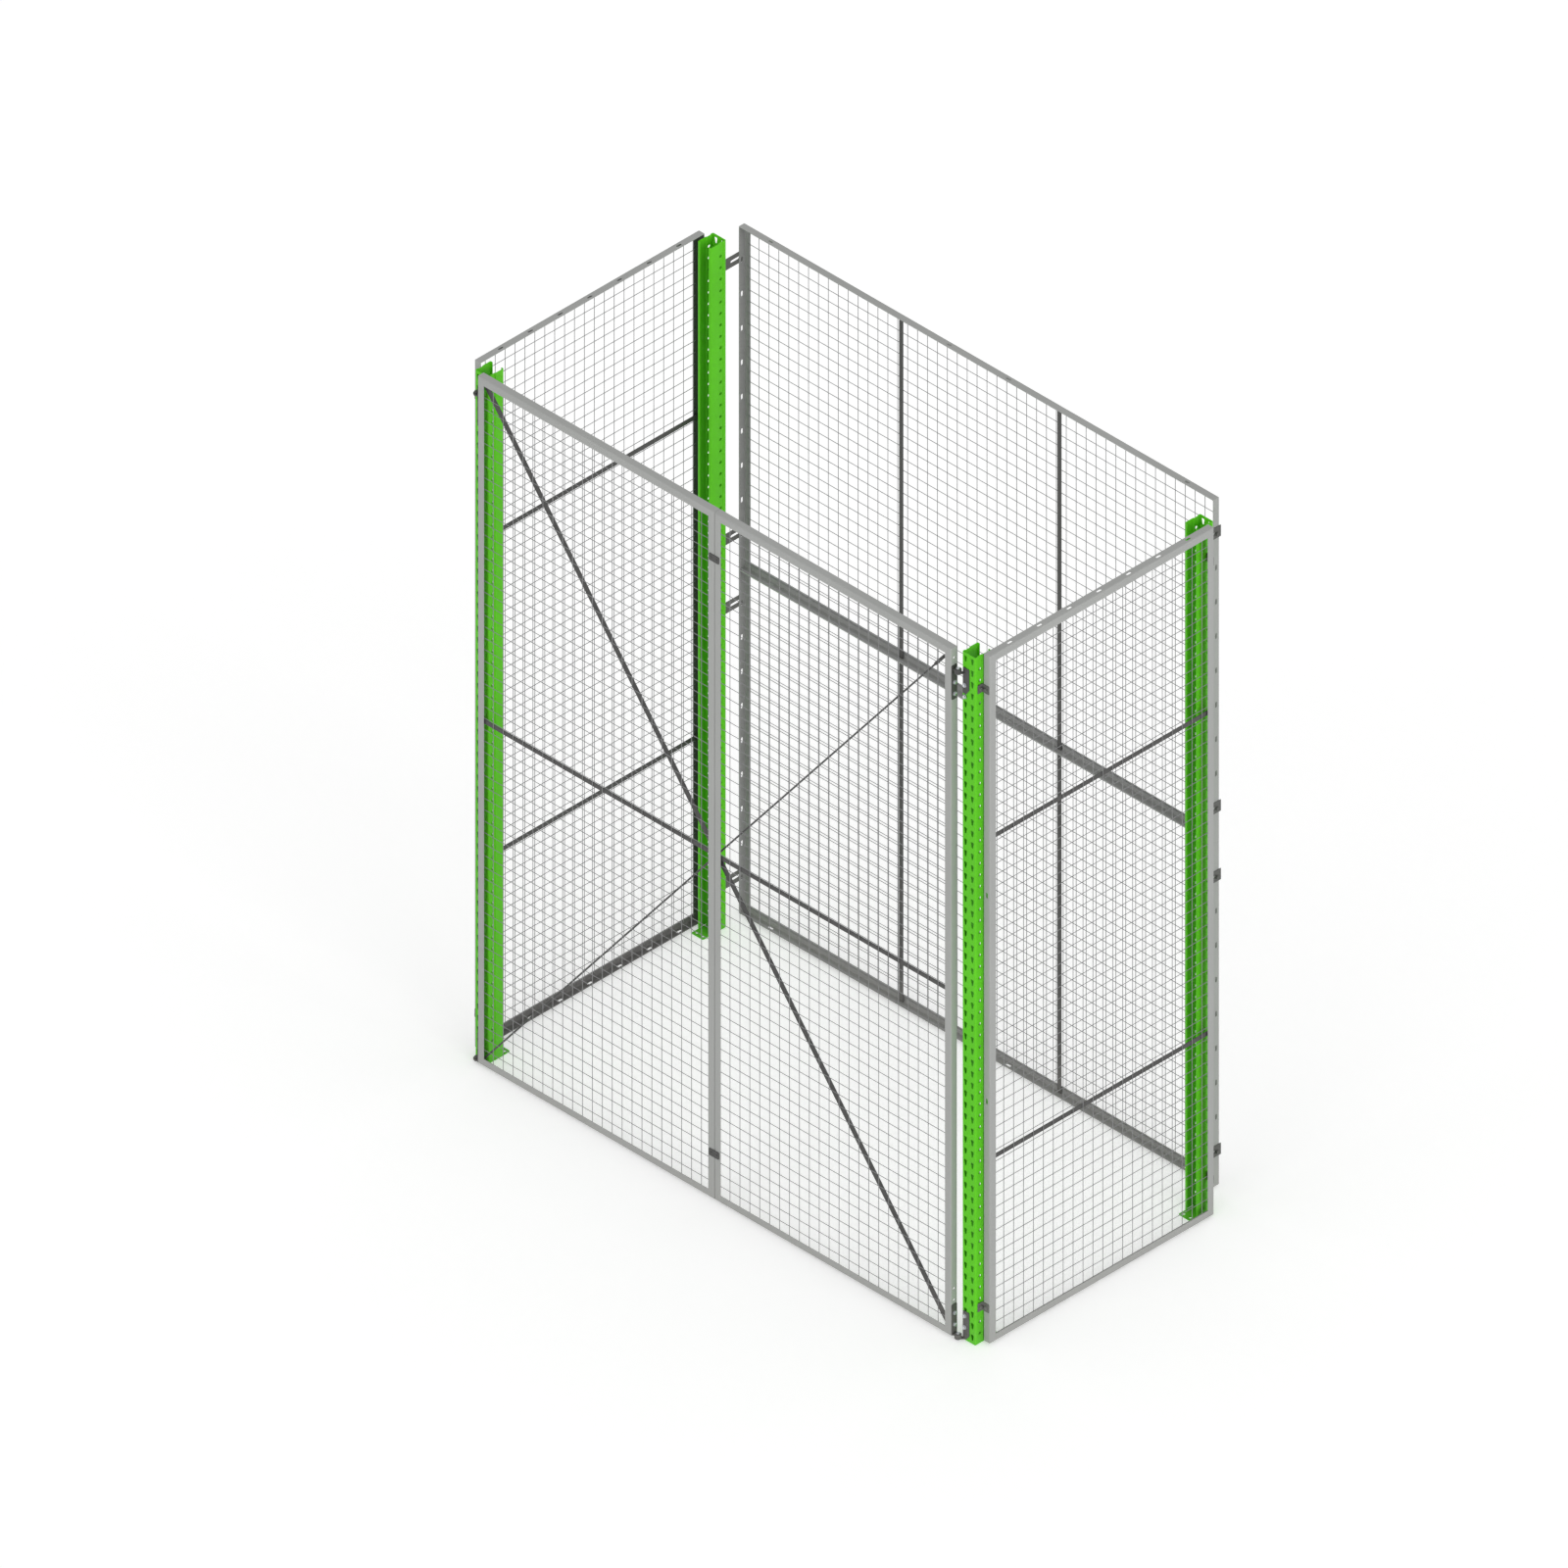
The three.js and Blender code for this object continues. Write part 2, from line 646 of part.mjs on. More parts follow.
// From where to where the leaves reach at the lower and the upper hinge.
const lowerSpan = [DOOR_LIFT, lowerTab + LEAF_LONG_END];
const upperSpan = [upperTab - LEAF_LONG_END, upperTab + LEAF_SHORT_END];
const lowerPostSpan = [lowerTab - EYE_HEIGHT - SEAT, lowerTab + POST_LEAF_LONG_END];
const upperPostSpan = [upperSpan[1] - POST_LEAF_LONG_END, upperSpan[1]];

for (const [level, z, span, postSpan] of [
  ['lower', lowerTab, lowerSpan, lowerPostSpan],
  ['upper', upperTab, upperSpan, upperPostSpan],
]) {
  const latch = z - LATCH_DROP;
  const latchSpan = [span[0], span[1] - LATCH_DROP];
  place(parts, `hinge_door_leaf_${level}`, doorLeaf(z, ...span), darkSteel());
  place(parts, `hinge_post_leaf_${level}`, postLeaf(z, ...postSpan), darkSteel());
  place(parts, `hinge_pin_${level}`, hingePin(z), zinc());
  place(parts, `latch_tab_${level}`, latchTab(latch, ...latchSpan), darkSteel());
  place(parts, `latch_keeper_${level}`, latchKeeper(latch), darkSteel());
}

// ---------------------------------------------------------------------------------------------
// Brackets
// ---------------------------------------------------------------------------------------------

// An oblong slot that lies along y, cut through the arm of a stand-off bracket.
function adjustSlot(x, y, z) {
  const half = (ADJUST_SLOT_LENGTH - ADJUST_SLOT_WIDTH) / 2;
  const radius = ADJUST_SLOT_WIDTH / 2;
  const slot = new THREE.Shape();
  slot.absarc(half, 0, radius, -Math.PI / 2, Math.PI / 2, false);
  slot.absarc(-half, 0, radius, Math.PI / 2, Math.PI * 1.5, false);
  return upright(slot, -2 * PLATE, 2 * PLATE).rotateZ(Math.PI / 2).translate(x, y, z);
}

// Angle bracket: its foot lies on the rear post's face, its arm runs back along the panel's end.
function standoff(sign, z) {
  const panelEnd = BACK_SHIFT + sign * BACK_WIDTH / 2;
  const near = panelEnd + sign * SEAT;
  const far = near + sign * PLATE;
  const columns = [-1, 1].map((half) => sign * (rackSide - POST_FACE / 2) + half * PUNCH_GAUGE / 2);
  const beyond = columns.filter((column) => sign * (column - far) > 0);
  const nearest = beyond.sort((a, b) => Math.abs(a - far) - Math.abs(b - far))[0];
  const low = z - STANDOFF_HEIGHT / 2;
  const high = z + STANDOFF_HEIGHT / 2;
  const start = rackRear + SEAT;
  const foot = block(near, nearest + sign * FOOT_MARGIN, start, start + PLATE, low, high);
  const arm = block(near, far, start, backRear + STANDOFF_OVERHANG, low, high);
  const slotMiddle = backFront - (backFront - rackRear) / 2 + ADJUST_SLOT_LENGTH / 2;
  return cut(join([foot, arm]), [adjustSlot((near + far) / 2, slotMiddle, z)]);
}

// Heights of the panels' fixing points. The brackets sit a little above them in the posts' slots.
const fixingLevels = [
  PANEL_LIFT + STANDOFF_FROM_END,
  PANEL_LIFT + backHeight - STANDOFF_FROM_END,
  PANEL_LIFT + backHeight + STANDOFF_FROM_END,
  PANEL_LIFT + 2 * backHeight - STANDOFF_FROM_END,
];

for (const [side, sign, raise] of [['left', -1, STANDOFF_RAISE_LEFT], ['right', 1, STANDOFF_RAISE_RIGHT]]) {
  fixingLevels.forEach((level, i) => {
    place(parts, `standoff_${side}_${i + 1}`, standoff(sign, level + raise), darkSteel());
  });
}

// Angle that ties a side panel's end to the post's flank.
function sideBracket(sign, end, z) {
  const flank = sign * (rackSide + SEAT);
  const panelEnd = end < 0 ? sideFront - SEAT : sideRear + SEAT;
  const low = z - SIDE_BRACKET_HEIGHT / 2;
  const high = z + SIDE_BRACKET_HEIGHT / 2;
  const reach = sign * (sideFace - SIDE_BRACKET_SHORT);
  const postLeg = block(flank, flank + sign * PLATE, panelEnd, panelEnd + end * SIDE_BRACKET_LEG, low, high);
  const panelLeg = block(flank, reach, panelEnd, panelEnd + end * PLATE, low, high);
  return join([postLeg, panelLeg]);
}

for (const [side, sign] of [['left', -1], ['right', 1]]) {
  for (const [end, outwards] of [['front', -1], ['rear', 1]]) {
    const lower = PANEL_LIFT + SIDE_BRACKET_FROM_END;
    const upper = PANEL_LIFT + CELL_HEIGHT - SIDE_BRACKET_FROM_END;
    const name = `side_bracket_${end}_${side}`;
    place(parts, `${name}_lower`, sideBracket(sign, outwards, lower), darkSteel());
    place(parts, `${name}_upper`, sideBracket(sign, outwards, upper), darkSteel());
  }
}

export default parts;
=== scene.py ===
# Rack bay closed with welded wire mesh panels and one wide mesh door, dressed for display.
# Metres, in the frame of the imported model: +Z up, the door faces -Y. Sheet-metal plans are
# worked out in millimetres and scaled once, where they are folded.

import math

import bpy
import numpy as np
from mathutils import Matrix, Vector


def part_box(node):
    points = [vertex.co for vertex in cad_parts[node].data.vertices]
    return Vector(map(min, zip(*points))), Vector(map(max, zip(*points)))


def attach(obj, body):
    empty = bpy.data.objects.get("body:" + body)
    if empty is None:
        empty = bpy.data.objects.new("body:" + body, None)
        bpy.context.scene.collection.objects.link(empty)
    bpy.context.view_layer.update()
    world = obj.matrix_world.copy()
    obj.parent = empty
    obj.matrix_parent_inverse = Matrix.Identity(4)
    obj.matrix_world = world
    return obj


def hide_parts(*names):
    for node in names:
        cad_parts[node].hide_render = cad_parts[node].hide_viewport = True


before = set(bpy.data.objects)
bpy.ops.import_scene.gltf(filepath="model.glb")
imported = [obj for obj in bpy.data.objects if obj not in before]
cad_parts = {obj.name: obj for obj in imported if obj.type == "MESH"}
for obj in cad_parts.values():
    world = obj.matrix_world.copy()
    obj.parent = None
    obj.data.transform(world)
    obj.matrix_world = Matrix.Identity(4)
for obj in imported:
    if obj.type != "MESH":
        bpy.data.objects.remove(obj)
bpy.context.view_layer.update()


# ---- Studio ------------------------------------------------------------------------------
# The picture is a parallel view from the front right and above, on a white floor that keeps
# a faint soft shadow. One scale holds over the whole frame, so the camera is orthographic.

PICTURE = 1600                  # side of the square picture, in pixels
PIXELS_PER_METRE = 286.1
CAMERA_AZIMUTH = math.radians(45.0)
CAMERA_ELEVATION = math.atan(math.sqrt(0.5))
POST_CORNER_PIXEL = (995.4, 1373.7)         # where the front right post's outer corner stands

scene = bpy.context.scene
scene.view_settings.view_transform = "Standard"

front_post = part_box("post_front_right")
corner = np.array([front_post[1].x, front_post[0].y, 0.0])
toward_camera = np.array([
    math.sin(CAMERA_AZIMUTH) * math.cos(CAMERA_ELEVATION),
    -math.cos(CAMERA_AZIMUTH) * math.cos(CAMERA_ELEVATION),
    math.sin(CAMERA_ELEVATION),
])
right = np.array([math.cos(CAMERA_AZIMUTH), math.sin(CAMERA_AZIMUTH), 0.0])
up = np.cross(toward_camera, right)
shift = (PICTURE / 2 - np.array(POST_CORNER_PIXEL)) / PIXELS_PER_METRE
centre = corner + right * shift[0] - up * shift[1]

camera_data = bpy.data.cameras.new("camera")
camera_data.type = "ORTHO"
camera_data.ortho_scale = PICTURE / PIXELS_PER_METRE
camera_data.clip_end = 100.0
camera = bpy.data.objects.new("camera", camera_data)
camera.location = centre + toward_camera * 12.0
camera.rotation_euler = (math.pi / 2 - CAMERA_ELEVATION, 0.0, CAMERA_AZIMUTH)
scene.collection.objects.link(camera)
scene.camera = camera


def soft_sun(name, azimuth, elevation, strength, spread):
    """A far lamp whose light comes from an azimuth (0 = +X, turning towards +Y) and a height,
    both in degrees. The spread is the angle it fills, which sets how soft its shadows are."""
    data = bpy.data.lights.new(name, "SUN")
    data.energy = strength
    data.angle = math.radians(spread)
    lamp = bpy.data.objects.new(name, data)
    lamp.rotation_euler = (math.radians(90.0 - elevation), 0.0, math.radians(azimuth + 90.0))
    scene.collection.objects.link(lamp)


soft_sun("side_light", -8.0, 12.0, 1.15, 50.0)
soft_sun("front_light", -84.0, 12.0, 0.75, 50.0)

WORLD_LIGHT = 0.62
FLOOR_GLOW = 0.346              # lifts the open floor just to white, so that only a shadow shows
FLOOR_SIZE = 80.0


def fitted(tree, kind, sockets, **settings):
    """Adds a shader node with its settings. Each named socket gets its value, or a link where an
    output is given for it."""
    node = tree.nodes.new(kind)
    for setting, value in settings.items():
        setattr(node, setting, value)
    for socket, value in sockets.items():
        if isinstance(value, bpy.types.NodeSocket):
            tree.links.new(value, node.inputs[socket])
        else:
            node.inputs[socket].default_value = value
    return node


def worked_out(tree, operation, *values):
    """The result of a math node on its values, of which each may be a number or an output."""
    return fitted(tree, "ShaderNodeMath", dict(enumerate(values)), operation=operation).outputs[0]


def seen_and_shed(tree, seen, shed):
    """One value on camera, glossy and transmission rays, and another on the rays that light
    things: the larger of the three ray masks picks between them."""
    ray = tree.nodes.new("ShaderNodeLightPath").outputs
    pair = worked_out(tree, "MAXIMUM", ray["Is Camera Ray"], ray["Is Glossy Ray"])
    straight = worked_out(tree, "MAXIMUM", pair, ray["Is Transmission Ray"])
    levels = {"Value": straight, "To Min": shed, "To Max": seen}
    return fitted(tree, "ShaderNodeMapRange", levels).outputs["Result"]


world = bpy.data.worlds.new("studio")
scene.world = world
world.use_nodes = True
sky = world.node_tree.nodes["Background"]
sky.inputs["Color"].default_value = (1.0, 1.0, 1.0, 1.0)
world.node_tree.links.new(seen_and_shed(world.node_tree, 1.0, WORLD_LIGHT), sky.inputs["Strength"])

floor_mesh = bpy.data.meshes.new("floor")
half = FLOOR_SIZE / 2
floor_mesh.from_pydata(
    [(-half, -half, 0.0), (half, -half, 0.0), (half, half, 0.0), (-half, half, 0.0)], [], [(0, 1, 2, 3)])
floor = bpy.data.objects.new("floor", floor_mesh)
scene.collection.objects.link(floor)

floor_paint = bpy.data.materials.new("floor_paint")
floor_paint.use_nodes = True
floor_shader = floor_paint.node_tree.nodes["Principled BSDF"]
floor_shader.inputs["Base Color"].default_value = (0.9, 0.9, 0.9, 1.0)
floor_shader.inputs["Roughness"].default_value = 1.0
floor_shader.inputs["Specular IOR Level"].default_value = 0.0
floor_shader.inputs["Emission Color"].default_value = (1.0, 1.0, 1.0, 1.0)
floor_glow = seen_and_shed(floor_paint.node_tree, FLOOR_GLOW, 0.0)
floor_paint.node_tree.links.new(floor_glow, floor_shader.inputs["Emission Strength"])
floor_mesh.materials.append(floor_paint)


# ---- Posts -------------------------------------------------------------------------------
# Four rack uprights, cold-rolled from 2.5 mm strip and powder coated green: a punched face,
# waisted flanks with a row of round holes, and lips turned in at the open back. The strip is
# punched flat and then folded, and it is modelled the same way.

MM = 0.001
POST_WALL = 2.5
POST_HALF = 33.5                # half the width of the face
POST_DEPTH = 78.0
POST_LIP = 11.0
FACE_RADIUS = 5.0
BACK_RADIUS = 4.0
WAIST = 3.0                     # how far the flank steps in
WAIST_SPAN = (12.0, 37.0)       # depth at which the waist begins and ends
PUNCH_PITCH = 50.0
PUNCH_GAUGE = 34.0              # between the two rows of slots
PUNCH_HEIGHT = 27.0
PUNCH_TOP = 15.0
PUNCH_FOOT = 8.0
PUNCH_CORNER = 4.0
PUNCH_COLUMN = 22.0             # width of the strip of plan that holds a slot
FLANK_HOLE = 13.0
FLANK_HOLE_DEPTH = 25.0
FLANK_HOLE_COLUMN = 16.0
LEFT_HOLES_DROP = -4.8          # holes of a left and a right flank, below the middle of two slots
RIGHT_HOLES_DROP = 9.6
GREEN = (0.116, 0.600, 0.015)


def plain_plan(across, along, openings=()):
    """Quads of a flat plan: corner (i, j) stands at (across[i], along[j]). A quad whose middle
    lies in an opening (low across, high across, low along, high along) is left out."""
    u, v = np.meshgrid(across, along, indexing="ij")
    grid = np.stack([u, v], axis=-1)
    quads = np.stack([grid[:-1, :-1], grid[1:, :-1], grid[1:, 1:], grid[:-1, 1:]], axis=2).reshape(-1, 4, 2)
    if not len(openings):
        return quads
    middle = quads.mean(axis=1)
    low_u, high_u, low_v, high_v = np.array(openings, float).T[:, None, :]
    u, v = middle[:, :1], middle[:, 1:]
    inside = (u > low_u) & (u < high_u) & (v > low_v) & (v < high_v)
    return quads[~inside.any(axis=1)]


def punched_plan(across, reach, hole, centres, rise=0.0):
    """A rectangle with a hole, repeated at each centre along the plan: a ring of quads joins
    point k of the rectangle's edge to point k of the hole. The edge has the columns across
    at its foot and head and one step at half height, so the hole has 2 n + 4 points."""
    n = len(across) - 1
    edge_u = np.concatenate([across[:-1], np.repeat(across[-1], 2), across[:0:-1], np.repeat(across[0], 2)])
    edge_v = np.concatenate([np.repeat(-reach, n), [-reach, 0.0], np.repeat(reach, n), [reach, 0.0]])
    edge = np.stack([edge_u, edge_v], axis=1)
    hole = hole + np.array([(across[0] + across[-1]) / 2, rise])
    ring = np.stack([edge, np.roll(edge, -1, axis=0), np.roll(hole, -1, axis=0), hole], axis=1)
    shift = np.zeros((len(centres), 1, 1, 2))
    shift[:, 0, 0, 1] = centres
    return (ring[None] + shift).reshape(-1, 4, 2)


def round_hole(diameter):
    """Twelve points on a circle, from the lower left: (r cos t, r sin t), t = 210 + 30 k degrees."""
    turn = np.radians(210.0 + 30.0 * np.arange(12))
    return diameter / 2 * np.stack([np.cos(turn), np.sin(turn)], axis=1)


def inner_line(line, wall):
    """The line moved to its left by the wall. At a bend it moves along the two sides' normals
    a and b by wall (a + b) / (1 + a . b), which keeps the wall's thickness on both sides."""
    step = np.diff(line, axis=0)
    normal = np.stack([-step[:, 1], step[:, 0]], axis=1) / np.linalg.norm(step, axis=1, keepdims=True)
    before = np.concatenate([normal[:1], normal])
    after = np.concatenate([normal, normal[-1:]])
    return line + wall * (before + after) / (1.0 + (before * after).sum(axis=1, keepdims=True))


def along_line(line):
    """Length along a line of points at each of its points."""
    return np.concatenate([[0.0], np.cumsum(np.linalg.norm(np.diff(line, axis=0), axis=1))])


def on_line(plan, length, line):
    """Where the points of a flat plan stand once it is folded: a point's place across the plan
    is its length along the line, which gives its two coordinates."""
    return tuple(np.interp(plan[..., 0], length, line[:, axis]) for axis in (0, 1))


def folded(plan, length, lines, start, ways):
    """The two skins of an upright folded strip. On each line a point stands at start plus its
    (x, y) on the line, turned by the signs in ways, and its height. Quads are turned round when
    the signs mirror the strip."""
    skins = []
    for line in lines:
        x, y = on_line(plan, length, line)
        skins.append(start + MM * np.stack([ways[0] * x, ways[1] * y, plan[..., 1]], axis=-1))
    return [skin[:, ::-1] for skin in skins] if ways[0] * ways[1] < 0 else skins


def closed_mesh(name, points, *faces):
    """A mesh from its points (n, 3) and arrays of faces, one row of corner numbers a face.
    Faces shade smoothly over an edge where they turn by less than 30 degrees."""
    corners = np.concatenate([part.ravel() for part in faces]).astype(np.int32)
    sizes = np.concatenate([np.full(len(part), part.shape[1]) for part in faces])
    mesh = bpy.data.meshes.new(name)
    mesh.vertices.add(len(points))
    mesh.vertices.foreach_set("co", np.ascontiguousarray(points, dtype=np.float32).ravel())
    mesh.loops.add(len(corners))
    mesh.loops.foreach_set("vertex_index", corners)
    mesh.polygons.add(len(sizes))
    mesh.polygons.foreach_set("loop_start", (np.cumsum(sizes) - sizes).astype(np.int32))
    mesh.update(calc_edges=True)
    mesh.validate()
    mesh.shade_smooth()
    mesh.set_sharp_from_angle(angle=math.radians(30.0))
    piece = bpy.data.objects.new(name, mesh)
    scene.collection.objects.link(piece)
    return piece


def sheet_shell(name, outer, inner):
    """A closed shell from the quads (n, 4, 3) of a sheet's outer skin and the same corners on
    its inner skin. Equal corners are joined, the inner quads run the other way round, and each
    free edge a-b gets the rim quad b, a, a', b'. The inner quads are counted from len(outer)."""
    key = np.round(outer.reshape(-1, 3) * 1e5).astype(np.int64)
    _, first, corner = np.unique(key, axis=0, return_index=True, return_inverse=True)
    corner = corner.reshape(-1, 4)
    count = len(first)
    points = np.concatenate([outer.reshape(-1, 3)[first], inner.reshape(-1, 3)[first]])
    start, end = corner.ravel(), np.roll(corner, -1, axis=1).ravel()
    free = ~np.isin(start * count + end, end * count + start)
    start, end = start[free], end[free]
    rim = np.stack([end, start, start + count, end + count], axis=1)
    return closed_mesh(name, points, corner, corner[:, ::-1] + count, rim)


def node_box(node):
    """Low and high corner of a CAD node's box, as two arrays."""
    low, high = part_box(node)
    return np.array(low), np.array(high)


def stands_for(piece, paint, slot, body, *nodes):
    """Gives a piece its paint, lets it ride on its body, and hides the CAD nodes. The slot is not used."""
    piece.data.materials.append(paint)
    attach(piece, body)
    if nodes:
        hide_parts(*nodes)
    return piece


def opened_group(name, inputs, outputs):
    """A node group with its sockets, given as {socket: kind}, and those sockets on the inside."""
    group = bpy.data.node_groups.new(name, "ShaderNodeTree")
    for way, sockets in (("INPUT", inputs), ("OUTPUT", outputs)):
        for socket, kind in sockets.items():
            group.interface.new_socket(socket, in_out=way, socket_type=kind)
    return group, group.nodes.new("NodeGroupInput").outputs, group.nodes.new("NodeGroupOutput").inputs


def coat_grain_group():
    """Powder coat: a fine noise lifts the surface as orange peel, a broad one lets the colour
    drift by a few percent, and a middle one adds faint rubbed patches and moves the gloss."""
    inputs = {"Place": "NodeSocketVector", "Colour": "NodeSocketColor", "Peel Scale": "NodeSocketFloat",
              "Drift": "NodeSocketFloat", "Gloss Low": "NodeSocketFloat", "Gloss High": "NodeSocketFloat"}
    outputs = {"Colour": "NodeSocketColor", "Roughness": "NodeSocketFloat", "Height": "NodeSocketFloat"}
    group, given, result = opened_group("coat_grain", inputs, outputs)
    peel, broad, rubbed = (
        fitted(group, "ShaderNodeTexNoise", {
            "Vector": given["Place"], "Scale": scale, "Detail": detail}).outputs["Fac"]
        for scale, detail in ((given["Peel Scale"], 2.0), (2.3, 4.0), (38.0, 3.0)))
    level = fitted(group, "ShaderNodeMapRange", {
        "Value": worked_out(group, "MULTIPLY_ADD", broad, rubbed, broad), "From Min": 0.45, "From Max": 1.05,
        "To Min": worked_out(group, "SUBTRACT", 1.0, given["Drift"]),
        "To Max": worked_out(group, "ADD", 1.0, given["Drift"])})
    tint = fitted(group, "ShaderNodeVectorMath", {
        0: given["Colour"], "Scale": level.outputs["Result"]}, operation="SCALE")
    gloss = fitted(group, "ShaderNodeMapRange", {
        "Value": rubbed, "From Min": 0.3, "From Max": 0.7,
        "To Min": given["Gloss Low"], "To Max": given["Gloss High"]})
    group.links.new(tint.outputs["Vector"], result["Colour"])
    group.links.new(gloss.outputs["Result"], result["Roughness"])
    group.links.new(peel, result["Height"])
    return group


def floor_dust_group():
    """Dust that settles low on the cell: full at the floor, gone at the given height, broken up
    by a noise, and mixed over the colour with a small strength."""
    inputs = {"Place": "NodeSocketVector", "Colour": "NodeSocketColor", "Reach": "NodeSocketFloat",
              "Strength": "NodeSocketFloat"}
    group, given, result = opened_group("floor_dust", inputs, {"Colour": "NodeSocketColor"})
    split = fitted(group, "ShaderNodeSeparateXYZ", {0: given["Place"]})
    fade = fitted(group, "ShaderNodeMapRange", {
        "Value": split.outputs["Z"], "From Min": 0.0, "From Max": given["Reach"],
        "To Min": 1.0, "To Max": 0.0}, interpolation_type="SMOOTHSTEP")
    cloud = fitted(group, "ShaderNodeTexNoise", {"Vector": given["Place"], "Scale": 60.0, "Detail": 4.0})
    broken = worked_out(group, "MULTIPLY", fade.outputs["Result"], cloud.outputs["Fac"])
    amount = worked_out(group, "MULTIPLY", broken, given["Strength"])
    mix = fitted(group, "ShaderNodeMix", {
        "Factor": amount, "A": given["Colour"], "B": (*DUST_GREY, 1.0)}, data_type="RGBA")
    group.links.new(mix.outputs["Result"], result["Colour"])
    return group


DUST_GREY = (0.42, 0.40, 0.37)
DUST_REACH = 0.22               # metres over the floor
coat_grain = coat_grain_group()
floor_dust = floor_dust_group()


def coated(name, colour, gloss, peel=1100.0, drift=0.05, lift=0.00004, dust=0.35, shine=0.35):
    """Powder coat over steel: the grain and dust groups give the colour, the roughness between
    the two values of gloss, and the height of the orange peel."""
    paint = bpy.data.materials.new(name)
    paint.use_nodes = True
    tree = paint.node_tree
    shader = tree.nodes["Principled BSDF"]
    shader.inputs["Specular IOR Level"].default_value = shine
    place = tree.nodes.new("ShaderNodeTexCoord").outputs["Object"]
    grain = fitted(tree, "ShaderNodeGroup", {
        "Place": place, "Colour": (*colour, 1.0), "Peel Scale": peel, "Drift": drift,
        "Gloss Low": gloss[0], "Gloss High": gloss[1]}, node_tree=coat_grain)
    settled = fitted(tree, "ShaderNodeGroup", {
        "Place": place, "Colour": grain.outputs["Colour"], "Reach": DUST_REACH, "Strength": dust},
        node_tree=floor_dust)
    bump = fitted(tree, "ShaderNodeBump", {
        "Strength": 0.5, "Distance": lift, "Height": grain.outputs["Height"]})
    tree.links.new(settled.outputs["Colour"], shader.inputs["Base Color"])
    tree.links.new(grain.outputs["Roughness"], shader.inputs["Roughness"])
    tree.links.new(bump.outputs["Normal"], shader.inputs["Normal"])
    return paint


def arc(middle, radius, start, end, steps):
    """Points on a circle after its first one: middle + r (cos t, sin t), t in degrees."""
    turn = np.radians(np.linspace(start, end, steps + 1)[1:])
    return np.array(middle) + radius * np.stack([np.cos(turn), np.sin(turn)], axis=1)


def post_half_line():
    """Right half of the post's outer line, from the middle of its face (across, depth) round
    the corner and along the waisted flank to the lip. The columns of the slots (6 steps) and
    of the flank holes (4 steps) are points on it."""
    waist = POST_HALF - WAIST
    start, end = WAIST_SPAN
    slots = np.linspace((PUNCH_GAUGE - PUNCH_COLUMN) / 2, (PUNCH_GAUGE + PUNCH_COLUMN) / 2, 7)
    holes = np.linspace(
        FLANK_HOLE_DEPTH - FLANK_HOLE_COLUMN / 2, FLANK_HOLE_DEPTH + FLANK_HOLE_COLUMN / 2, 5)
    face = np.stack([np.concatenate([[0.0], slots, [POST_HALF - FACE_RADIUS]]), np.zeros(9)], axis=1)
    flank = [(POST_HALF, start), (waist, start + WAIST)]
    column = np.stack([np.full(5, waist), holes], axis=1)
    back = [(waist, end - WAIST), (POST_HALF, end), (POST_HALF, POST_DEPTH - BACK_RADIUS)]
    return np.concatenate([
        face,
        arc((POST_HALF - FACE_RADIUS, FACE_RADIUS), FACE_RADIUS, -90.0, 0.0, 4),
        flank,
        column,
        back,
        arc((POST_HALF - BACK_RADIUS, POST_DEPTH - BACK_RADIUS), BACK_RADIUS, 0.0, 90.0, 4),
        [(POST_HALF - POST_LIP, POST_DEPTH)],
    ])


def teardrop_slot():
    """Sixteen points of the slot: a round foot, two slanting sides and a wide head with
    rounded corners, counter-clockwise from the left end of the foot."""
    foot, head, high = PUNCH_FOOT / 2, PUNCH_TOP / 2, PUNCH_HEIGHT / 2
    turn = np.radians(180.0 + 30.0 * np.arange(7))
    low = np.stack([foot * np.cos(turn), foot - high + foot * np.sin(turn)], axis=1)
    side = np.array([((foot + head) / 2, 0.0)])
    cut = 0.3 * PUNCH_CORNER
    top = np.array([
        (head, high - PUNCH_CORNER), (head - cut, high - cut), (head - PUNCH_CORNER, high), (0.0, high)])
    whole = np.concatenate([low, side, top])
    left = whole[[10, 9, 8, 7]] * np.array([-1.0, 1.0])
    return np.concatenate([whole, left])


half_line = post_half_line()
post_line = np.concatenate([half_line[:0:-1] * np.array([-1.0, 1.0]), half_line])
post_inside = inner_line(post_line, POST_WALL)
post_length = along_line(post_line)
post_low, post_high = node_box("post_front_left")
post_height = (post_high[2] - post_low[2]) / MM
rows = np.arange(0.0, post_height + 1.0, PUNCH_PITCH / 2)
slot_columns = [(20, 26), (28, 34)]
hole_columns = [(8, 12), (42, 46)]
openings = [(post_length[a], post_length[b], 0.0, post_height) for a, b in slot_columns]
openings += [(post_length[a], post_length[b], rows[1], rows[-2]) for a, b in hole_columns]
slot_rows = np.arange(PUNCH_PITCH / 2, post_height, PUNCH_PITCH)
hole_rows = np.arange(PUNCH_PITCH, post_height - 1.0, PUNCH_PITCH)


def post_plan(drops):
    """Flat plan of a post: the plain strip, its two rows of slots, and a row of holes in each
    flank, which stands lower than the middle between two slots by its own drop."""
    plans = [plain_plan(post_length, rows, openings)]
    for a, b in slot_columns:
        plans.append(punched_plan(post_length[a:b + 1], PUNCH_PITCH / 2, teardrop_slot(), slot_rows))
    for (a, b), drop in zip(hole_columns, drops):
        hole = round_hole(FLANK_HOLE)
        plans.append(punched_plan(post_length[a:b + 1], PUNCH_PITCH / 2, hole, hole_rows, -drop))
    return np.concatenate(plans)


green_coat = coated("green_coat", GREEN, (0.34, 0.5), drift=0.06, dust=0.1, shine=0.15)

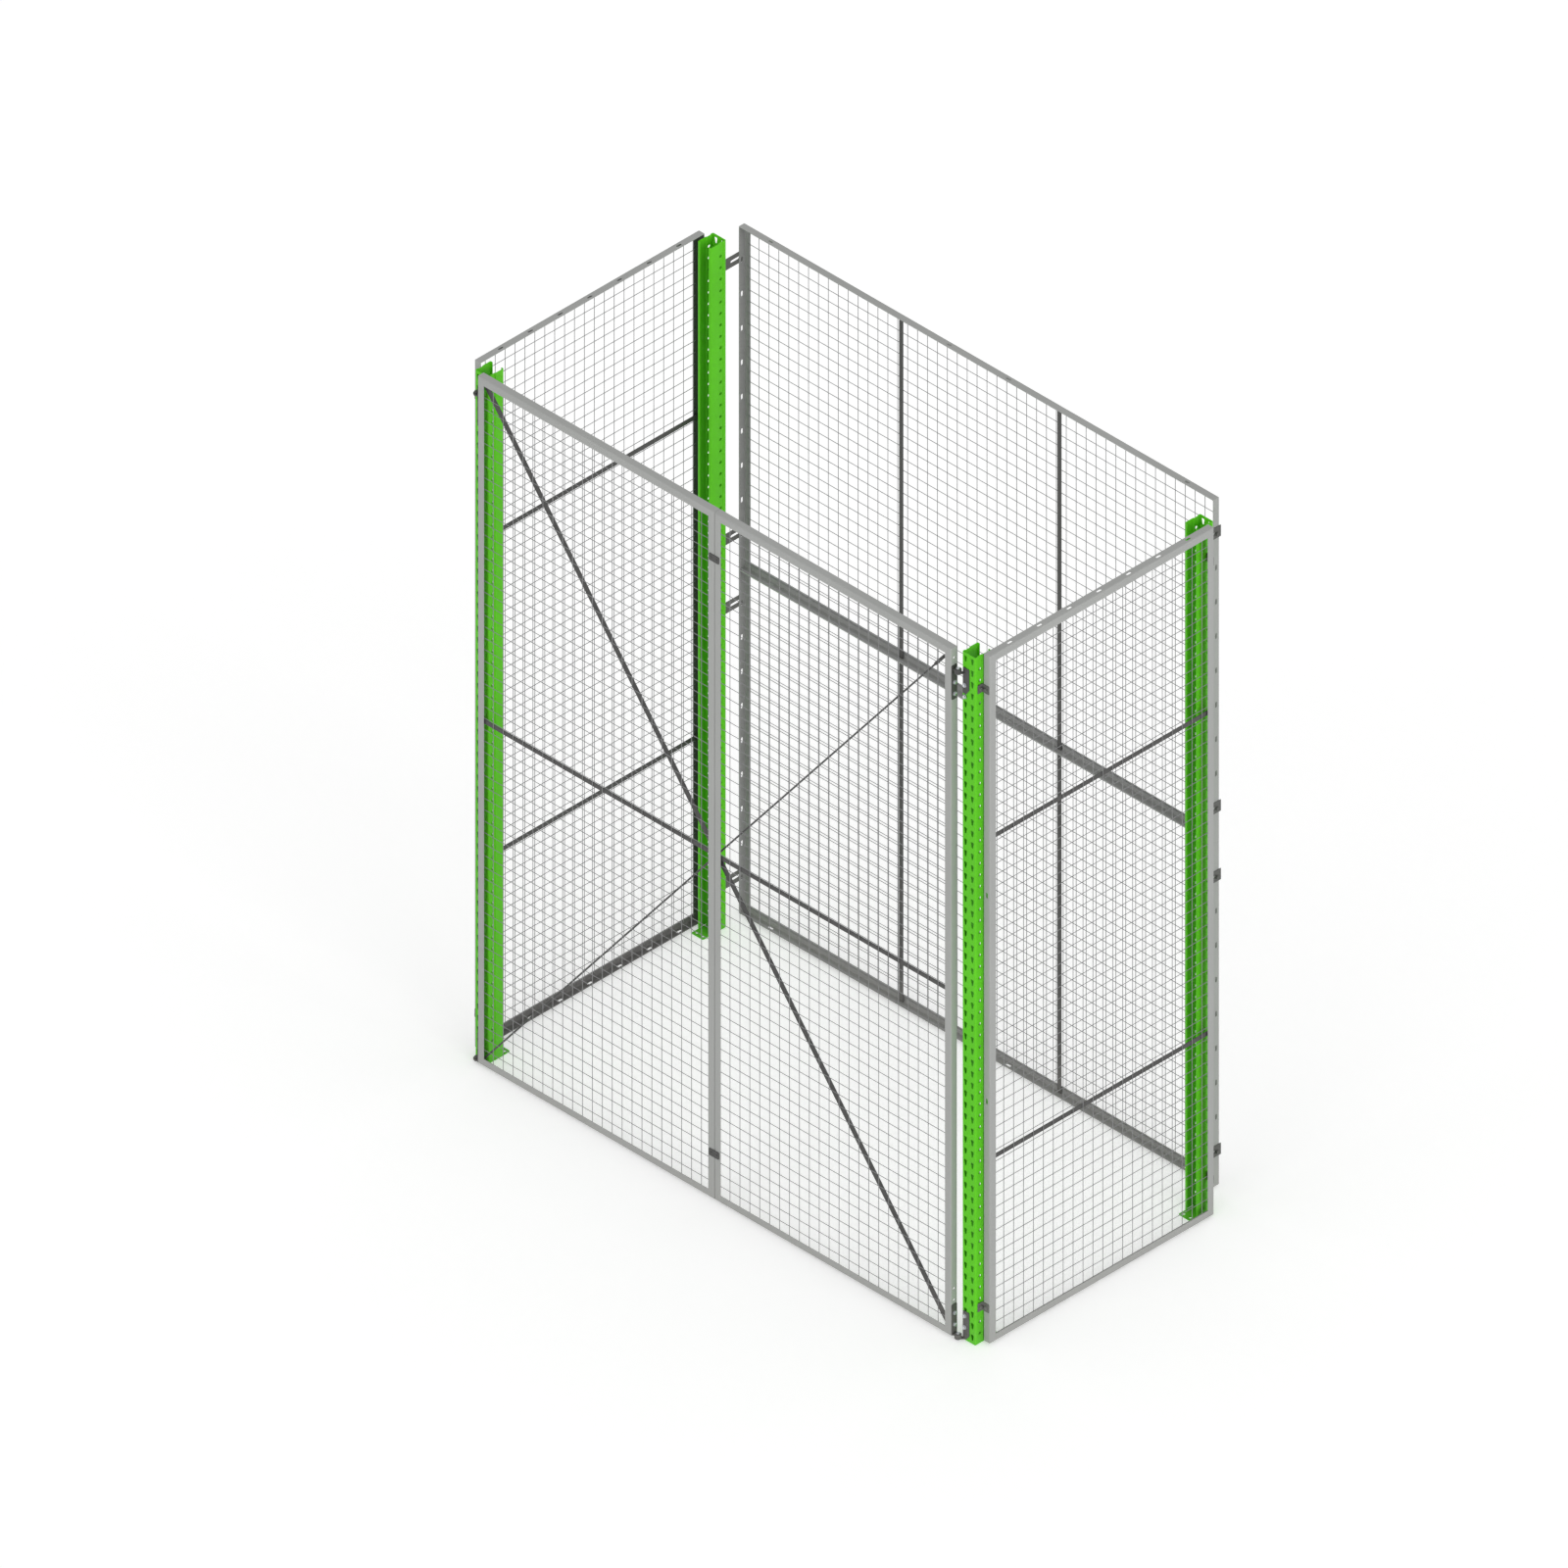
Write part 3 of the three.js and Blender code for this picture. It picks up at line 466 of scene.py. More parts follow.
for end, turn in (("front", 1.0), ("rear", -1.0)):
    drops = (LEFT_HOLES_DROP, RIGHT_HOLES_DROP)
    plan = post_plan(drops if end == "front" else drops[::-1])
    for side in ("left", "right"):
        low, high = node_box(f"post_{end}_{side}")
        start = np.array([(low[0] + high[0]) / 2, low[1] if end == "front" else high[1], low[2]])
        skins = folded(plan, post_length, (post_line, post_inside), start, (turn, turn))
        post = sheet_shell(f"upright_{end}_{side}", *skins)
        stands_for(post, green_coat, "post_paint", "cell", f"post_{end}_{side}")


# ---- Foot plates -------------------------------------------------------------------------
# A 3 mm plate under each post, green as the post. It runs out past the open back with two
# anchor holes and clipped corners.

ANCHOR_HOLE = 11.0
ANCHOR_GAUGE = 32.0             # between the two anchor holes
ANCHOR_EDGE = 15.0              # from the plate's far edge to the holes
ANCHOR_REACH = 8.0              # half the square of plan that holds a hole
FOOT_CORNER = 4.0

for end, turn in (("front", 1.0), ("rear", -1.0)):
    for side in ("left", "right"):
        low, high = node_box(f"foot_{end}_{side}")
        width, length = (high[:2] - low[:2]) / MM
        middle = (low[0] + high[0]) / 2
        start = low[1] if end == "front" else high[1]
        anchor = length - ANCHOR_EDGE
        left = np.linspace(-ANCHOR_GAUGE / 2 - ANCHOR_REACH, -ANCHOR_GAUGE / 2 + ANCHOR_REACH, 5)
        columns = (left, -left[::-1])
        across = np.concatenate([
            [-width / 2, -width / 2 + FOOT_CORNER], *columns, [width / 2 - FOOT_CORNER, width / 2]])
        along = np.array([
            0.0, length / 3, 2 * length / 3, anchor - ANCHOR_REACH, anchor, anchor + ANCHOR_REACH,
            length - FOOT_CORNER, length])
        windows = [(at[0], at[-1], anchor - ANCHOR_REACH, anchor + ANCHOR_REACH) for at in columns]
        plans = [plain_plan(across, along, windows)]
        plans += [punched_plan(at, ANCHOR_REACH, round_hole(ANCHOR_HOLE), [anchor]) for at in columns]
        plan = np.concatenate(plans)
        clip = np.maximum(0.0, plan[..., 1] - (length - FOOT_CORNER)) / (width / 2)
        x = middle + turn * MM * plan[..., 0] * (1.0 - clip)
        y = start + turn * MM * plan[..., 1]
        top, bottom = (np.stack([x, y, np.full_like(x, z)], axis=-1) for z in (high[2], low[2]))
        foot = sheet_shell(f"foot_plate_{end}_{side}", top, bottom)
        stands_for(foot, green_coat, "post_paint", "cell", f"foot_{end}_{side}")


# ---- Panel frames ------------------------------------------------------------------------
# Each mesh panel has a ring of 30 x 30 x 2.5 mm angle, rolled from strip, mitred and welded at
# the corners and powder coated light grey. One leg is the panel's face and the other runs
# back at its edge, with fixing slots or bolt holes at half its depth. The angle's inner skin
# gets a darker grey: painted shade for the cell's shadowed inside, darkest on the left panel.

LEG = 30.0
LEG_WALL = 2.5
BEND_RADIUS = 3.5
BAND_MIDDLE = 16.25             # depth of the middle of the slots and holes
BAND = (9.0, 12.6, BAND_MIDDLE, 19.9, 23.5)     # depths of the columns round a slot or a hole
WINDOW_BACK = 28.5              # depth at which the brace's window ends
HOLE_COLUMNS = (5, 9)           # first and last point of the angle's line round a slot or a hole
WINDOW_COLUMNS = (6, 10)        # and round the brace's window
SLOT_LENGTH = 25.0
SLOT_WIDTH = 10.0
SLOT_REACH = 16.0               # half the length of plan that holds a slot
SLOT_PITCH = 150.0
SLOT_FROM_END = 110.0
BACK_RAIL_SLOTS = np.array([-1050.0, -150.0, 150.0, 1050.0])    # from the middle of the side
SIDE_STILE_SLOTS = np.array([-450.0, 450.0])
STILE_HOLE = 10.0
STILE_HOLE_REACH = 8.0
STILE_HOLES_FROM_END = np.array([45.0, 95.0, 150.0, 200.0])
WINDOW_REACH = 25.0             # half the height of the brace's window in a middle stile
LIGHT_GREY = (0.385, 0.392, 0.380)
# Painted shade: the inner skin of the rings gets these darker greys for the shadowed inside of the cell,
# darkest on the left panel.
INNER_SKIN_PAINTED_SHADE = (0.30, 0.30, 0.295)
LEFT_PANEL_PAINTED_SHADE = (0.10, 0.098, 0.10)
EAST, WEST = np.array([1.0, 0.0, 0.0]), np.array([-1.0, 0.0, 0.0])
SOUTH, NORTH = np.array([0.0, -1.0, 0.0]), np.array([0.0, 1.0, 0.0])
UP = np.array([0.0, 0.0, 1.0])
FACING = {                      # corner of the frame's box, way across the panel, way back from its face
    "door_left": ((0, 0), EAST, NORTH),
    "door_right": ((0, 0), EAST, NORTH),
    "right_panel": ((1, 0), NORTH, WEST),
    "left_panel": ((0, 1), SOUTH, EAST),
    "back_lower": ((1, 1), WEST, SOUTH),
    "back_upper": ((1, 1), WEST, SOUTH),
}

# The angle's outer line as (depth, distance in from the panel's edge), face leg first.
angle_line = np.concatenate([
    [(0.0, LEG), (0.0, BEND_RADIUS)],
    arc((BEND_RADIUS, BEND_RADIUS), BEND_RADIUS, 180.0, 270.0, 3),
    [(depth, 0.0) for depth in (*BAND, WINDOW_BACK, LEG)],
])
angle_inside = inner_line(angle_line, LEG_WALL)
angle_length = along_line(angle_line)


def body_of(name):
    """The body of a panel or of one of its bars: the door's own ride with the door."""
    return "door" if name.startswith("door") else "cell"


def oblong_slot(length, width):
    """Twelve points of an oblong slot that lies along the plan: two half circles about points
    +-(length - width) / 2 from the middle, and one point on each straight side."""
    radius, away = width / 2, (length - width) / 2
    turn = np.radians(180.0 + 45.0 * np.arange(5))
    low = np.stack([radius * np.cos(turn), radius * np.sin(turn) - away], axis=1)
    side = np.array([(radius, 0.0)])
    return np.concatenate([low, side, -low, -side])


def panel_place(name):
    """Corner, way across, way back, width and height of a panel, from its frame's box."""
    (at_x, at_y), across, back = FACING[name]
    box = node_box(f"{name}_frame")
    size = box[1] - box[0]
    corner = np.array([box[at_x][0], box[at_y][1], box[0][2]])
    return corner, across, back, abs(size @ across) / MM, size[2] / MM


def angle_side(length, slots=(), holes=(), windows=()):
    """Flat plan of one side of the ring: the whole strip less the rectangles that hold an
    opening, and a ring of quads round each slot and hole."""
    levels, gaps = [0.0, length], []
    for places, reach, (a, b) in (
            (slots, SLOT_REACH, HOLE_COLUMNS), (holes, STILE_HOLE_REACH, HOLE_COLUMNS),
            (windows, WINDOW_REACH, WINDOW_COLUMNS)):
        for at in places:
            levels += [at - reach, at, at + reach]
            gaps.append((angle_length[a], angle_length[b], at - reach, at + reach))
    column = angle_length[HOLE_COLUMNS[0]:HOLE_COLUMNS[1] + 1]
    plans = [plain_plan(angle_length, np.unique(levels), gaps)]
    if len(slots):
        plans.append(punched_plan(column, SLOT_REACH, oblong_slot(SLOT_LENGTH, SLOT_WIDTH), slots))
    if len(holes):
        plans.append(punched_plan(column, STILE_HOLE_REACH, round_hole(STILE_HOLE), holes))
    return np.concatenate(plans)


def angle_ring(name, openings):
    """The four sides of a ring, from the foot counter-clockwise. A point of a side stands at
    corner + s along + w inwards + d back, where w and d come from the angle's line and s is
    kept between w and length - w, which cuts the mitres."""
    corner, across, back, width, height = panel_place(name)
    corners = [(0.0, 0.0), (width, 0.0), (width, height), (0.0, height)]
    ways = [(1.0, 0.0), (0.0, 1.0), (-1.0, 0.0), (0.0, -1.0)]
    skins = []
    for line in (angle_line, angle_inside):
        sides = []
        for i, (start, way, cuts) in enumerate(zip(corners, ways, openings)):
            length = height if i % 2 else width
            plan = angle_side(length, **cuts)
            deep, inward = on_line(plan, angle_length, line)
            s = np.clip(plan[..., 1], inward, length - inward)
            x = start[0] + s * way[0] - inward * way[1]
            z = start[1] + s * way[1] + inward * way[0]
            sides.append(corner + MM * (x[..., None] * across + z[..., None] * UP + deep[..., None] * back))
        skins.append(np.concatenate(sides))
    ring = sheet_shell(f"{name}_angle_ring", *skins)
    # The inner skin takes material 1, the painted shade grey.
    paint_of = np.zeros(len(ring.data.polygons), np.int32)
    paint_of[len(skins[0]):2 * len(skins[0])] = 1
    ring.data.polygons.foreach_set("material_index", paint_of)
    return ring


def pitched(length):
    """Places of the slots along a side: as many at the pitch as fit between its ends."""
    count = int((length - 2 * SLOT_FROM_END) // SLOT_PITCH) + 1
    return length / 2 + SLOT_PITCH * (np.arange(count) - (count - 1) / 2)


grey_coat = coated("grey_coat", LIGHT_GREY, (0.42, 0.58), drift=0.035)
# Painted shade: these two inner-skin coats are the light grey darkened for the cell's shadowed inside.
inner_skin_shade_paint = coated("grey_coat_inside", INNER_SKIN_PAINTED_SHADE, (0.5, 0.65), drift=0.06)
left_panel_shade_paint = coated("grey_coat_left_inside", LEFT_PANEL_PAINTED_SHADE, (0.5, 0.65), drift=0.08)

for name in FACING:
    width, height = panel_place(name)[3:]
    if name.startswith("door"):
        holes = np.concatenate([STILE_HOLES_FROM_END, height - STILE_HOLES_FROM_END])
        outer_stile, middle_stile = {"holes": holes}, {"windows": [height / 2]}
        stiles = (middle_stile, outer_stile) if name == "door_left" else (outer_stile, middle_stile)
        openings = [{}, stiles[0], {}, stiles[1]]
    elif name.startswith("back"):
        openings = [{"slots": width / 2 + BACK_RAIL_SLOTS}, {"slots": pitched(height)}] * 2
    else:
        openings = [{"slots": pitched(width)}, {"slots": height / 2 + SIDE_STILE_SLOTS}] * 2
    ring = angle_ring(name, openings)
    stands_for(ring, grey_coat, "panel_paint", body_of(name), f"{name}_frame")
    # Inner skin in painted shade, darker still on the left panel.
    ring.data.materials.append(left_panel_shade_paint if name == "left_panel" else inner_skin_shade_paint)


# ---- Welded nets -------------------------------------------------------------------------
# Every panel holds a net of round wire, 50 x 50 mm, resistance welded where the wires cross and
# welded to the back of the face leg. The upright wires lie in front, the level ones behind.
# The nets were cut from a roll, so each panel starts at another place in the mesh.

WIRE = 2.5
WIRE_PITCH = 50.0
NET_EDGE = 22.0                 # from the panel's edge to the wires' ends
UPRIGHT_DEPTH = 4.25
LEVEL_DEPTH = 5.55
WIRE_GREY = (0.24, 0.24, 0.245)
FIRST_WIRES = {                 # first upright wire from the panel's corner, first level wire from its foot
    "door_left": (24.5, 17.1),
    "door_right": (24.5, 17.1),
    "right_panel": (23.65, 28.2),
    "left_panel": (29.9, 31.6),
    "back_lower": (17.8, 24.3),
    "back_upper": (17.8, 24.3),
}


def drawn(section, starts, ends, first, second):
    """A closed section (k, 2) carried straight from each start to each end: point j stands at
    end + section[j, 0] first + section[j, 1] second. first x second points along the path."""
    starts, ends = np.atleast_2d(starts), np.atleast_2d(ends)
    k, m = len(section), len(starts)
    ring = section[:, :1] * np.asarray(first) + section[:, 1:] * np.asarray(second)
    points = np.stack([starts, ends], axis=1)[:, :, None] + ring
    base = 2 * k * np.arange(m)[:, None, None]
    j = np.arange(k)
    side = np.stack([j, (j + 1) % k, (j + 1) % k + k, j + k], axis=1)
    faces = [(side + base).reshape(-1, 4), j[None, ::-1] + base[:, 0], j[None] + k + base[:, 0]]
    return points.reshape(-1, 3), faces


def round_section(diameter, sides):
    """A circle's points: (r cos t, r sin t) with t in equal steps."""
    turn = 2 * np.pi * np.arange(sides) / sides
    return diameter / 2 * np.stack([np.cos(turn), np.sin(turn)], axis=1)


def built(name, forms, paint, slot, body, *nodes):
    """One piece from several closed forms. Each form's faces count its own points, so they are
    moved on by the number of points before them."""
    before = np.cumsum([0] + [len(points) for points, _ in forms])
    points = np.concatenate([form[0] for form in forms])
    faces = [part + count for (_, parts), count in zip(forms, before) for part in parts]
    return stands_for(closed_mesh(name, points, *faces), paint, slot, body, *nodes)


def wire_net(name):
    """Upright wires at the pitch across the panel and level wires up it, as closed rods."""
    corner, across, back, width, height = panel_place(name)
    first_upright, first_level = FIRST_WIRES[name]
    upright = np.arange(first_upright, width - NET_EDGE, WIRE_PITCH)
    level = np.arange(first_level, height - NET_EDGE, WIRE_PITCH)
    upright, level = upright[upright > NET_EDGE], level[level > NET_EDGE]
    section = MM * round_section(WIRE, 8)
    foot = corner + MM * (upright[:, None] * across + UPRIGHT_DEPTH * back)
    left = corner + MM * (level[:, None] * UP + LEVEL_DEPTH * back)
    return [
        drawn(section, foot + MM * NET_EDGE * UP, foot + MM * (height - NET_EDGE) * UP, across, back),
        drawn(section, left + MM * NET_EDGE * across, left + MM * (width - NET_EDGE) * across, back, UP),
    ]


wire_coat = coated("wire_coat", WIRE_GREY, (0.35, 0.5), peel=1600.0, drift=0.05)

for name in FACING:
    built(f"{name}_net", wire_net(name), wire_coat, "mesh_paint", body_of(name), f"{name}_mesh")


# ---- Flat bars and rails -----------------------------------------------------------------
# Dark 20 x 3 mm flat bars with rolled edges stiffen the nets from behind: two across each side
# panel, two up each back panel and one across each door leaf. They are welded into the ring
# at both ends, with a bead over the bar's end.

BAR_WIDTH = 20.0
BAR_EDGE = 0.8
BEAD = 3.4
BEAD_INSET = 1.2                # from the bar's end to the bead
BEAD_REACH = 0.42               # half the bead's length, in widths of the bar
DARK_STEEL = (0.070, 0.069, 0.067)


def flat_section(width, thickness, radius):
    """A rectangle with round corners, counter-clockwise: half size less r, plus an arc of r."""
    turn = np.radians(np.arange(0.0, 91.0, 30.0))
    spin = radius * np.stack([np.cos(turn), np.sin(turn)], axis=1)
    inner = np.array([width / 2 - radius, thickness / 2 - radius])
    rounds = []
    for sign in ((1.0, 1.0), (-1.0, 1.0), (-1.0, -1.0), (1.0, -1.0)):
        rounds.append(inner * np.array(sign) + spin)
        spin = np.stack([-spin[:, 1], spin[:, 0]], axis=1)
    return np.concatenate(rounds)


def capped_rings(points):
    """A closed form from rings of points (rows, sides, 3): point j of a row is joined to point
    j + 1 and to the next row, and the first and the last row are closed by flat caps."""
    rows, sides = points.shape[:2]
    i, j = np.meshgrid(np.arange(rows - 1) * sides, np.arange(sides), indexing="ij")
    k = (j + 1) % sides
    side = np.stack([i + j, i + k, i + k + sides, i + j + sides], axis=-1).reshape(-1, 4)
    cap = np.arange(sides)[None]
    return points.reshape(-1, 3), [side, cap[:, ::-1], cap + (rows - 1) * sides]


def unit_ring(first, second, sides):
    """A circle of radius 1 in space: first cos t + second sin t."""
    ring = round_section(2.0, sides)
    return ring[:, :1] * first + ring[:, 1:] * second


def weld_bead(place, reach, first, second):
    """A bead from place - reach to place + reach that thins towards both ends. Its radius is
    r sqrt(1 - (0.93 t)^2) with small ripples, t from -1 to 1 along it."""
    t = np.linspace(-1.0, 1.0, 17)[:, None, None]
    radius = MM * BEAD / 2 * np.sqrt(1.0 - (0.93 * t) ** 2) * (1.0 + 0.06 * np.cos(24.0 * t))
    return capped_rings(place + reach * t + radius * unit_ring(first, second, 8))


def welded_bar(node):
    """The flat bar in a CAD node's box, carried along its longest side, with a bead at each end
    on the side away from the net."""
    low, high = node_box(node)
    size = high - low
    along, thin = int(np.argmax(size)), int(np.argmin(size))
    way = np.eye(3)[along]
    path = way * size[along] / 2
    back = FACING[node.split("_bar")[0].removesuffix("_rail")][2]
    wide = np.cross(back, way)
    middle = (low + high) / 2
    width = MM * BAR_WIDTH
    forms = [drawn(flat_section(width, size[thin], MM * BAR_EDGE), middle - path, middle + path, wide, back)]
    for sign in (-1.0, 1.0):
        place = middle + sign * (path - MM * BEAD_INSET * way) + back * size[thin] / 2
        forms.append(weld_bead(place, wide * width * BEAD_REACH, back, way))
    return forms


dark_coat = coated("dark_coat", DARK_STEEL, (0.4, 0.55), drift=0.10)

bars = [f"{side}_panel_bar_{level}" for side in ("left", "right") for level in ("lower", "upper")]
bars += [f"back_{level}_bar_{side}" for level in ("lower", "upper") for side in ("left", "right")]
bars += ["door_left_rail", "door_right_rail"]
for node in bars:
    built(f"{node}_flat", welded_bar(node), dark_coat, "dark_steel", body_of(node), node)


# ---- Door brace --------------------------------------------------------------------------
# A 26 x 3 mm flat bar holds the door's diagonal from the top left to the bottom right corner. It
# passes through a window in both middle stiles and is welded into the corners.

BRACE_WIDTH = 26.0
BRACE_BEAD_INSET = 4.0
BRACE_BEAD_BACK = 1.5           # half the brace's thickness, so that the bead lies on its back
BRACE_BEAD_REACH = 7.0
END_GAP = 0.3                   # left between a bar's square end and the corner

(left_low, left_high), (right_low, right_high) = node_box("door_left_frame"), node_box("door_right_frame")
door_low, door_high = np.minimum(left_low, right_low), np.maximum(left_high, right_high)
door_middle = (door_low + door_high) / 2
inner_span = (door_high - door_low)[[0, 2]] - 2 * MM * LEG_WALL
door_slope = math.atan2(inner_span[1], inner_span[0])
door_diagonal = math.hypot(*inner_span)


def square_end(width):
    """How far a bar of this width, cut square, stops from the corner: (w/2 sin a + gap) / cos a."""
    return (width / 2 * math.sin(door_slope) + END_GAP) / math.cos(door_slope) * MM


brace_low, brace_high = node_box("door_brace")
brace_way = np.array([math.cos(door_slope), 0.0, -math.sin(door_slope)])
brace_across = np.cross(brace_way, NORTH)
brace_middle = np.array([door_middle[0], (brace_low[1] + brace_high[1]) / 2, door_middle[2]])
brace_half = (door_diagonal / 2 - square_end(BRACE_WIDTH)) * brace_way
brace_section = flat_section(brace_high[1] - brace_low[1], MM * BRACE_WIDTH, MM * BAR_EDGE)
forms = [drawn(brace_section, brace_middle - brace_half, brace_middle + brace_half, NORTH, brace_across)]
for sign in (-1.0, 1.0):
    place = brace_middle + sign * (brace_half - MM * BRACE_BEAD_INSET * brace_way)
    place += MM * BRACE_BEAD_BACK * NORTH
    forms.append(weld_bead(place, MM * BRACE_BEAD_REACH * brace_across, brace_way, NORTH))
built("door_diagonal_brace", forms, dark_coat, "dark_steel", "door", "door_brace")


# ---- Tie rod -----------------------------------------------------------------------------
# A 7 mm steel rod on the door's other diagonal, from the bottom left to the top right corner. A
# sleeve nut near the top right corner takes the threaded ends and draws the door square.

ROD = 7.0
ROD_BACK = 22.0                 # from the door's face to the rod
SLEEVE = 13.0
SLEEVE_LENGTH = 64.0
SLEEVE_FROM_CORNER = 80.0
THREAD_PITCH = 1.25
THREAD_DEPTH = 0.4
THREAD_LENGTH = 40.0


def turned(profile, middle, first, second, sides):
    """A profile of (height, radius) in mm, revolved: middle + h axis + r (first cos t + second
    sin t), where axis = first x second. Its two ends are closed by flat caps."""
    profile = np.asarray(profile) * MM
    axis = np.cross(first, second)
    ring = unit_ring(first, second, sides)
    return capped_rings(middle + profile[:, :1, None] * axis + profile[:, 1:, None] * ring)


def thread(start, end, radius):
    """Ridges of a thread: the radius falls and rises by its depth once every pitch."""
    count = int(abs(end - start) / (THREAD_PITCH / 2))
    height = np.linspace(start, end, count)
    return np.stack([height, radius - THREAD_DEPTH * (np.arange(count) % 2)], axis=1)


rod_way = np.array([math.cos(door_slope), 0.0, math.sin(door_slope)])
rod_middle = np.array([door_middle[0], door_low[1] + MM * ROD_BACK, door_middle[2]])
rod_end = (door_diagonal / 2 - square_end(ROD)) / MM
sleeve_top = rod_end - SLEEVE_FROM_CORNER
sleeve_low = sleeve_top - SLEEVE_LENGTH
thin, fat = ROD / 2, SLEEVE / 2
profile = np.concatenate([
    [(-rod_end, thin - 0.5), (-rod_end + 0.5, thin)],
    thread(sleeve_low - 6.5 - THREAD_LENGTH, sleeve_low - 7.0, thin),
    [(sleeve_low - 6.5, fat - 0.8), (sleeve_low - 5.8, fat), (sleeve_low - 0.8, fat),
     (sleeve_low, fat - 0.8), (sleeve_low + 0.4, fat - 1.2), (sleeve_low + 1.0, fat),
     (sleeve_top - 1.0, fat), (sleeve_top, fat - 1.0)],
    thread(sleeve_top + 0.5, sleeve_top + THREAD_LENGTH, thin),
    [(rod_end - 0.5, thin), (rod_end, thin - 0.5)],
])
rod = turned(profile, rod_middle, NORTH, np.cross(rod_way, NORTH), 14)
built("door_tie_rod_turned", [rod], dark_coat, "dark_steel", "door", "door_tie_rod")


# ---- Door clips --------------------------------------------------------------------------
# Two small dark plates over the seam hold the door's leaves together, each with two screws.

CLIP_CORNER = 3.0
SCREW_FROM_SEAM = 14.0
SCREW_HEAD = [(0.0, 4.0), (0.8, 3.9), (2.0, 3.1), (2.7, 1.8)]      # height and radius of its edges


def flat_plate(outline, low, high, first, second, middle):
    """A flat outline (k, 2) carried from low to high along first x second: point j stands at
    middle + u first + v second, and the two faces are one polygon each."""
    middle, axis = np.asarray(middle), np.cross(first, second)
    return drawn(outline, middle + low * axis, middle + high * axis, first, second)


for level in ("lower", "upper"):
    low, high = node_box(f"door_clip_{level}")
    middle, size = (low + high) / 2, high - low
    front = np.array([middle[0], low[1], middle[2]])
    outline = flat_section(size[0], size[2], MM * CLIP_CORNER)
    forms = [flat_plate(outline, -size[1], 0.0, EAST, UP, front)]
    forms += [turned(SCREW_HEAD, front + way * MM * SCREW_FROM_SEAM, EAST, UP, 16) for way in (WEST, EAST)]
    built(f"seam_clip_{level}", forms, dark_coat, "dark_steel", "door", f"door_clip_{level}")


# ---- Hinges ------------------------------------------------------------------------------
# Each hinge is a leaf bolted on the door's stile and one bolted on the post's face. Both carry a
# thick eye, the door's on top, and a zinc pin with a head above and a nut below joins them.

STILE_PLATE_WIDTH = 26.0
POST_LEAF_WIDTH = 31.0
PLATE = 3.0
PLATE_CORNER = 4.0
LEAF_SLANT = (16.0, 20.0)       # the post leaf's cut lower corner: start of the cut, and its height
LEAF_CHAMFER = 3.0
TAB_THICKNESS = 4.0
TAB_HALF = 10.0
TAB_SHORT = 7.0                 # how far the door's tab ends before the pin's middle
EYE = 27.0
EYE_HEIGHT = 9.0
EYE_EDGE = 0.8
EYE_GAP = 0.3                   # between the two eyes, and between the upper one and the head
ARM_AT_EYE = [(-0.25, 0.93), (0.93, 0.1)]       # where the post leaf's arm meets the eye, in its radius
PIN = 10.0
PIN_HOLE = 10.6
PIN_HEAD = 6.0
PIN_HEAD_RADIUS = 7.0
POST_BOLT_INSET = 10.5          # from the post leaf's edge to its bolts
BOLT_FLATS = 13.0
BOLT_GRIP = 5.8
WASHER = 1.6
ZINC = (0.62, 0.64, 0.66)
ZINC_SHADE = (0.50, 0.52, 0.55)


def eye_ring(middle):
    """A thick ring about an upright line, with its foot at middle: the closed loop of (height,
    radius) is carried round 24 steps, and its last row joins its first."""
    edge, top, outer, inner = EYE_EDGE, EYE_HEIGHT, EYE / 2, PIN_HOLE / 2
    loop = np.array([
        (0.0, inner + edge), (0.0, outer - edge), (edge, outer), (top - edge, outer),
        (top, outer - edge), (top, inner + edge), (top - edge, inner), (edge, inner)]) * MM
    ring = unit_ring(EAST, NORTH, 24)
    points = np.asarray(middle) + loop[:, :1, None] * UP + loop[:, 1:, None] * ring
    i, j = np.meshgrid(np.arange(8), np.arange(24), indexing="ij")
    k, n = (j + 1) % 24, (i + 1) % 8
    faces = np.stack([24 * i + j, 24 * i + k, 24 * n + k, 24 * n + j], axis=-1).reshape(-1, 4)
    return points.reshape(-1, 3), [faces]


def level_tab(outline, low):
    """A tab from its outline in plan, lying level with its underside at low."""
    return flat_plate(outline, low, low + MM * TAB_THICKNESS, EAST, NORTH, (0.0, 0.0, 0.0))


def hex_bolt(place, out, grip=BOLT_GRIP):
    """A hexagon bolt whose washer lies at a place, head outwards, and whose nut and threaded end
    stand grip further in. The head is a revolved profile in six steps with a chamfered crown."""
    first = UP if abs(out[2]) < 0.5 else EAST
    second = np.cross(out, first)
    corner, shank, thick = BOLT_FLATS / math.sqrt(3.0), BOLT_FLATS * 0.30, BOLT_FLATS * 0.42
    rim = BOLT_FLATS * 0.66
    disc = [(0.0, BOLT_FLATS * 0.62), (0.2, rim), (WASHER - 0.2, rim), (WASHER, BOLT_FLATS * 0.62)]
    head = [(WASHER, corner), (WASHER + thick - 0.9, corner), (WASHER + thick, corner * 0.86)]
    forms = [turned(disc, place, first, second, 20), turned(head, place, first, second, 6)]
    if grip:
        end = -grip - thick
        nut = [(end, corner * 0.88), (end + 0.8, corner), (-grip, corner)]
        tip = [(end - 3.0, shank * 0.8), (end - 2.4, shank), (end, shank)]
        forms += [turned(nut, place, first, second, 6), turned(tip, place, first, second, 12)]
    return forms


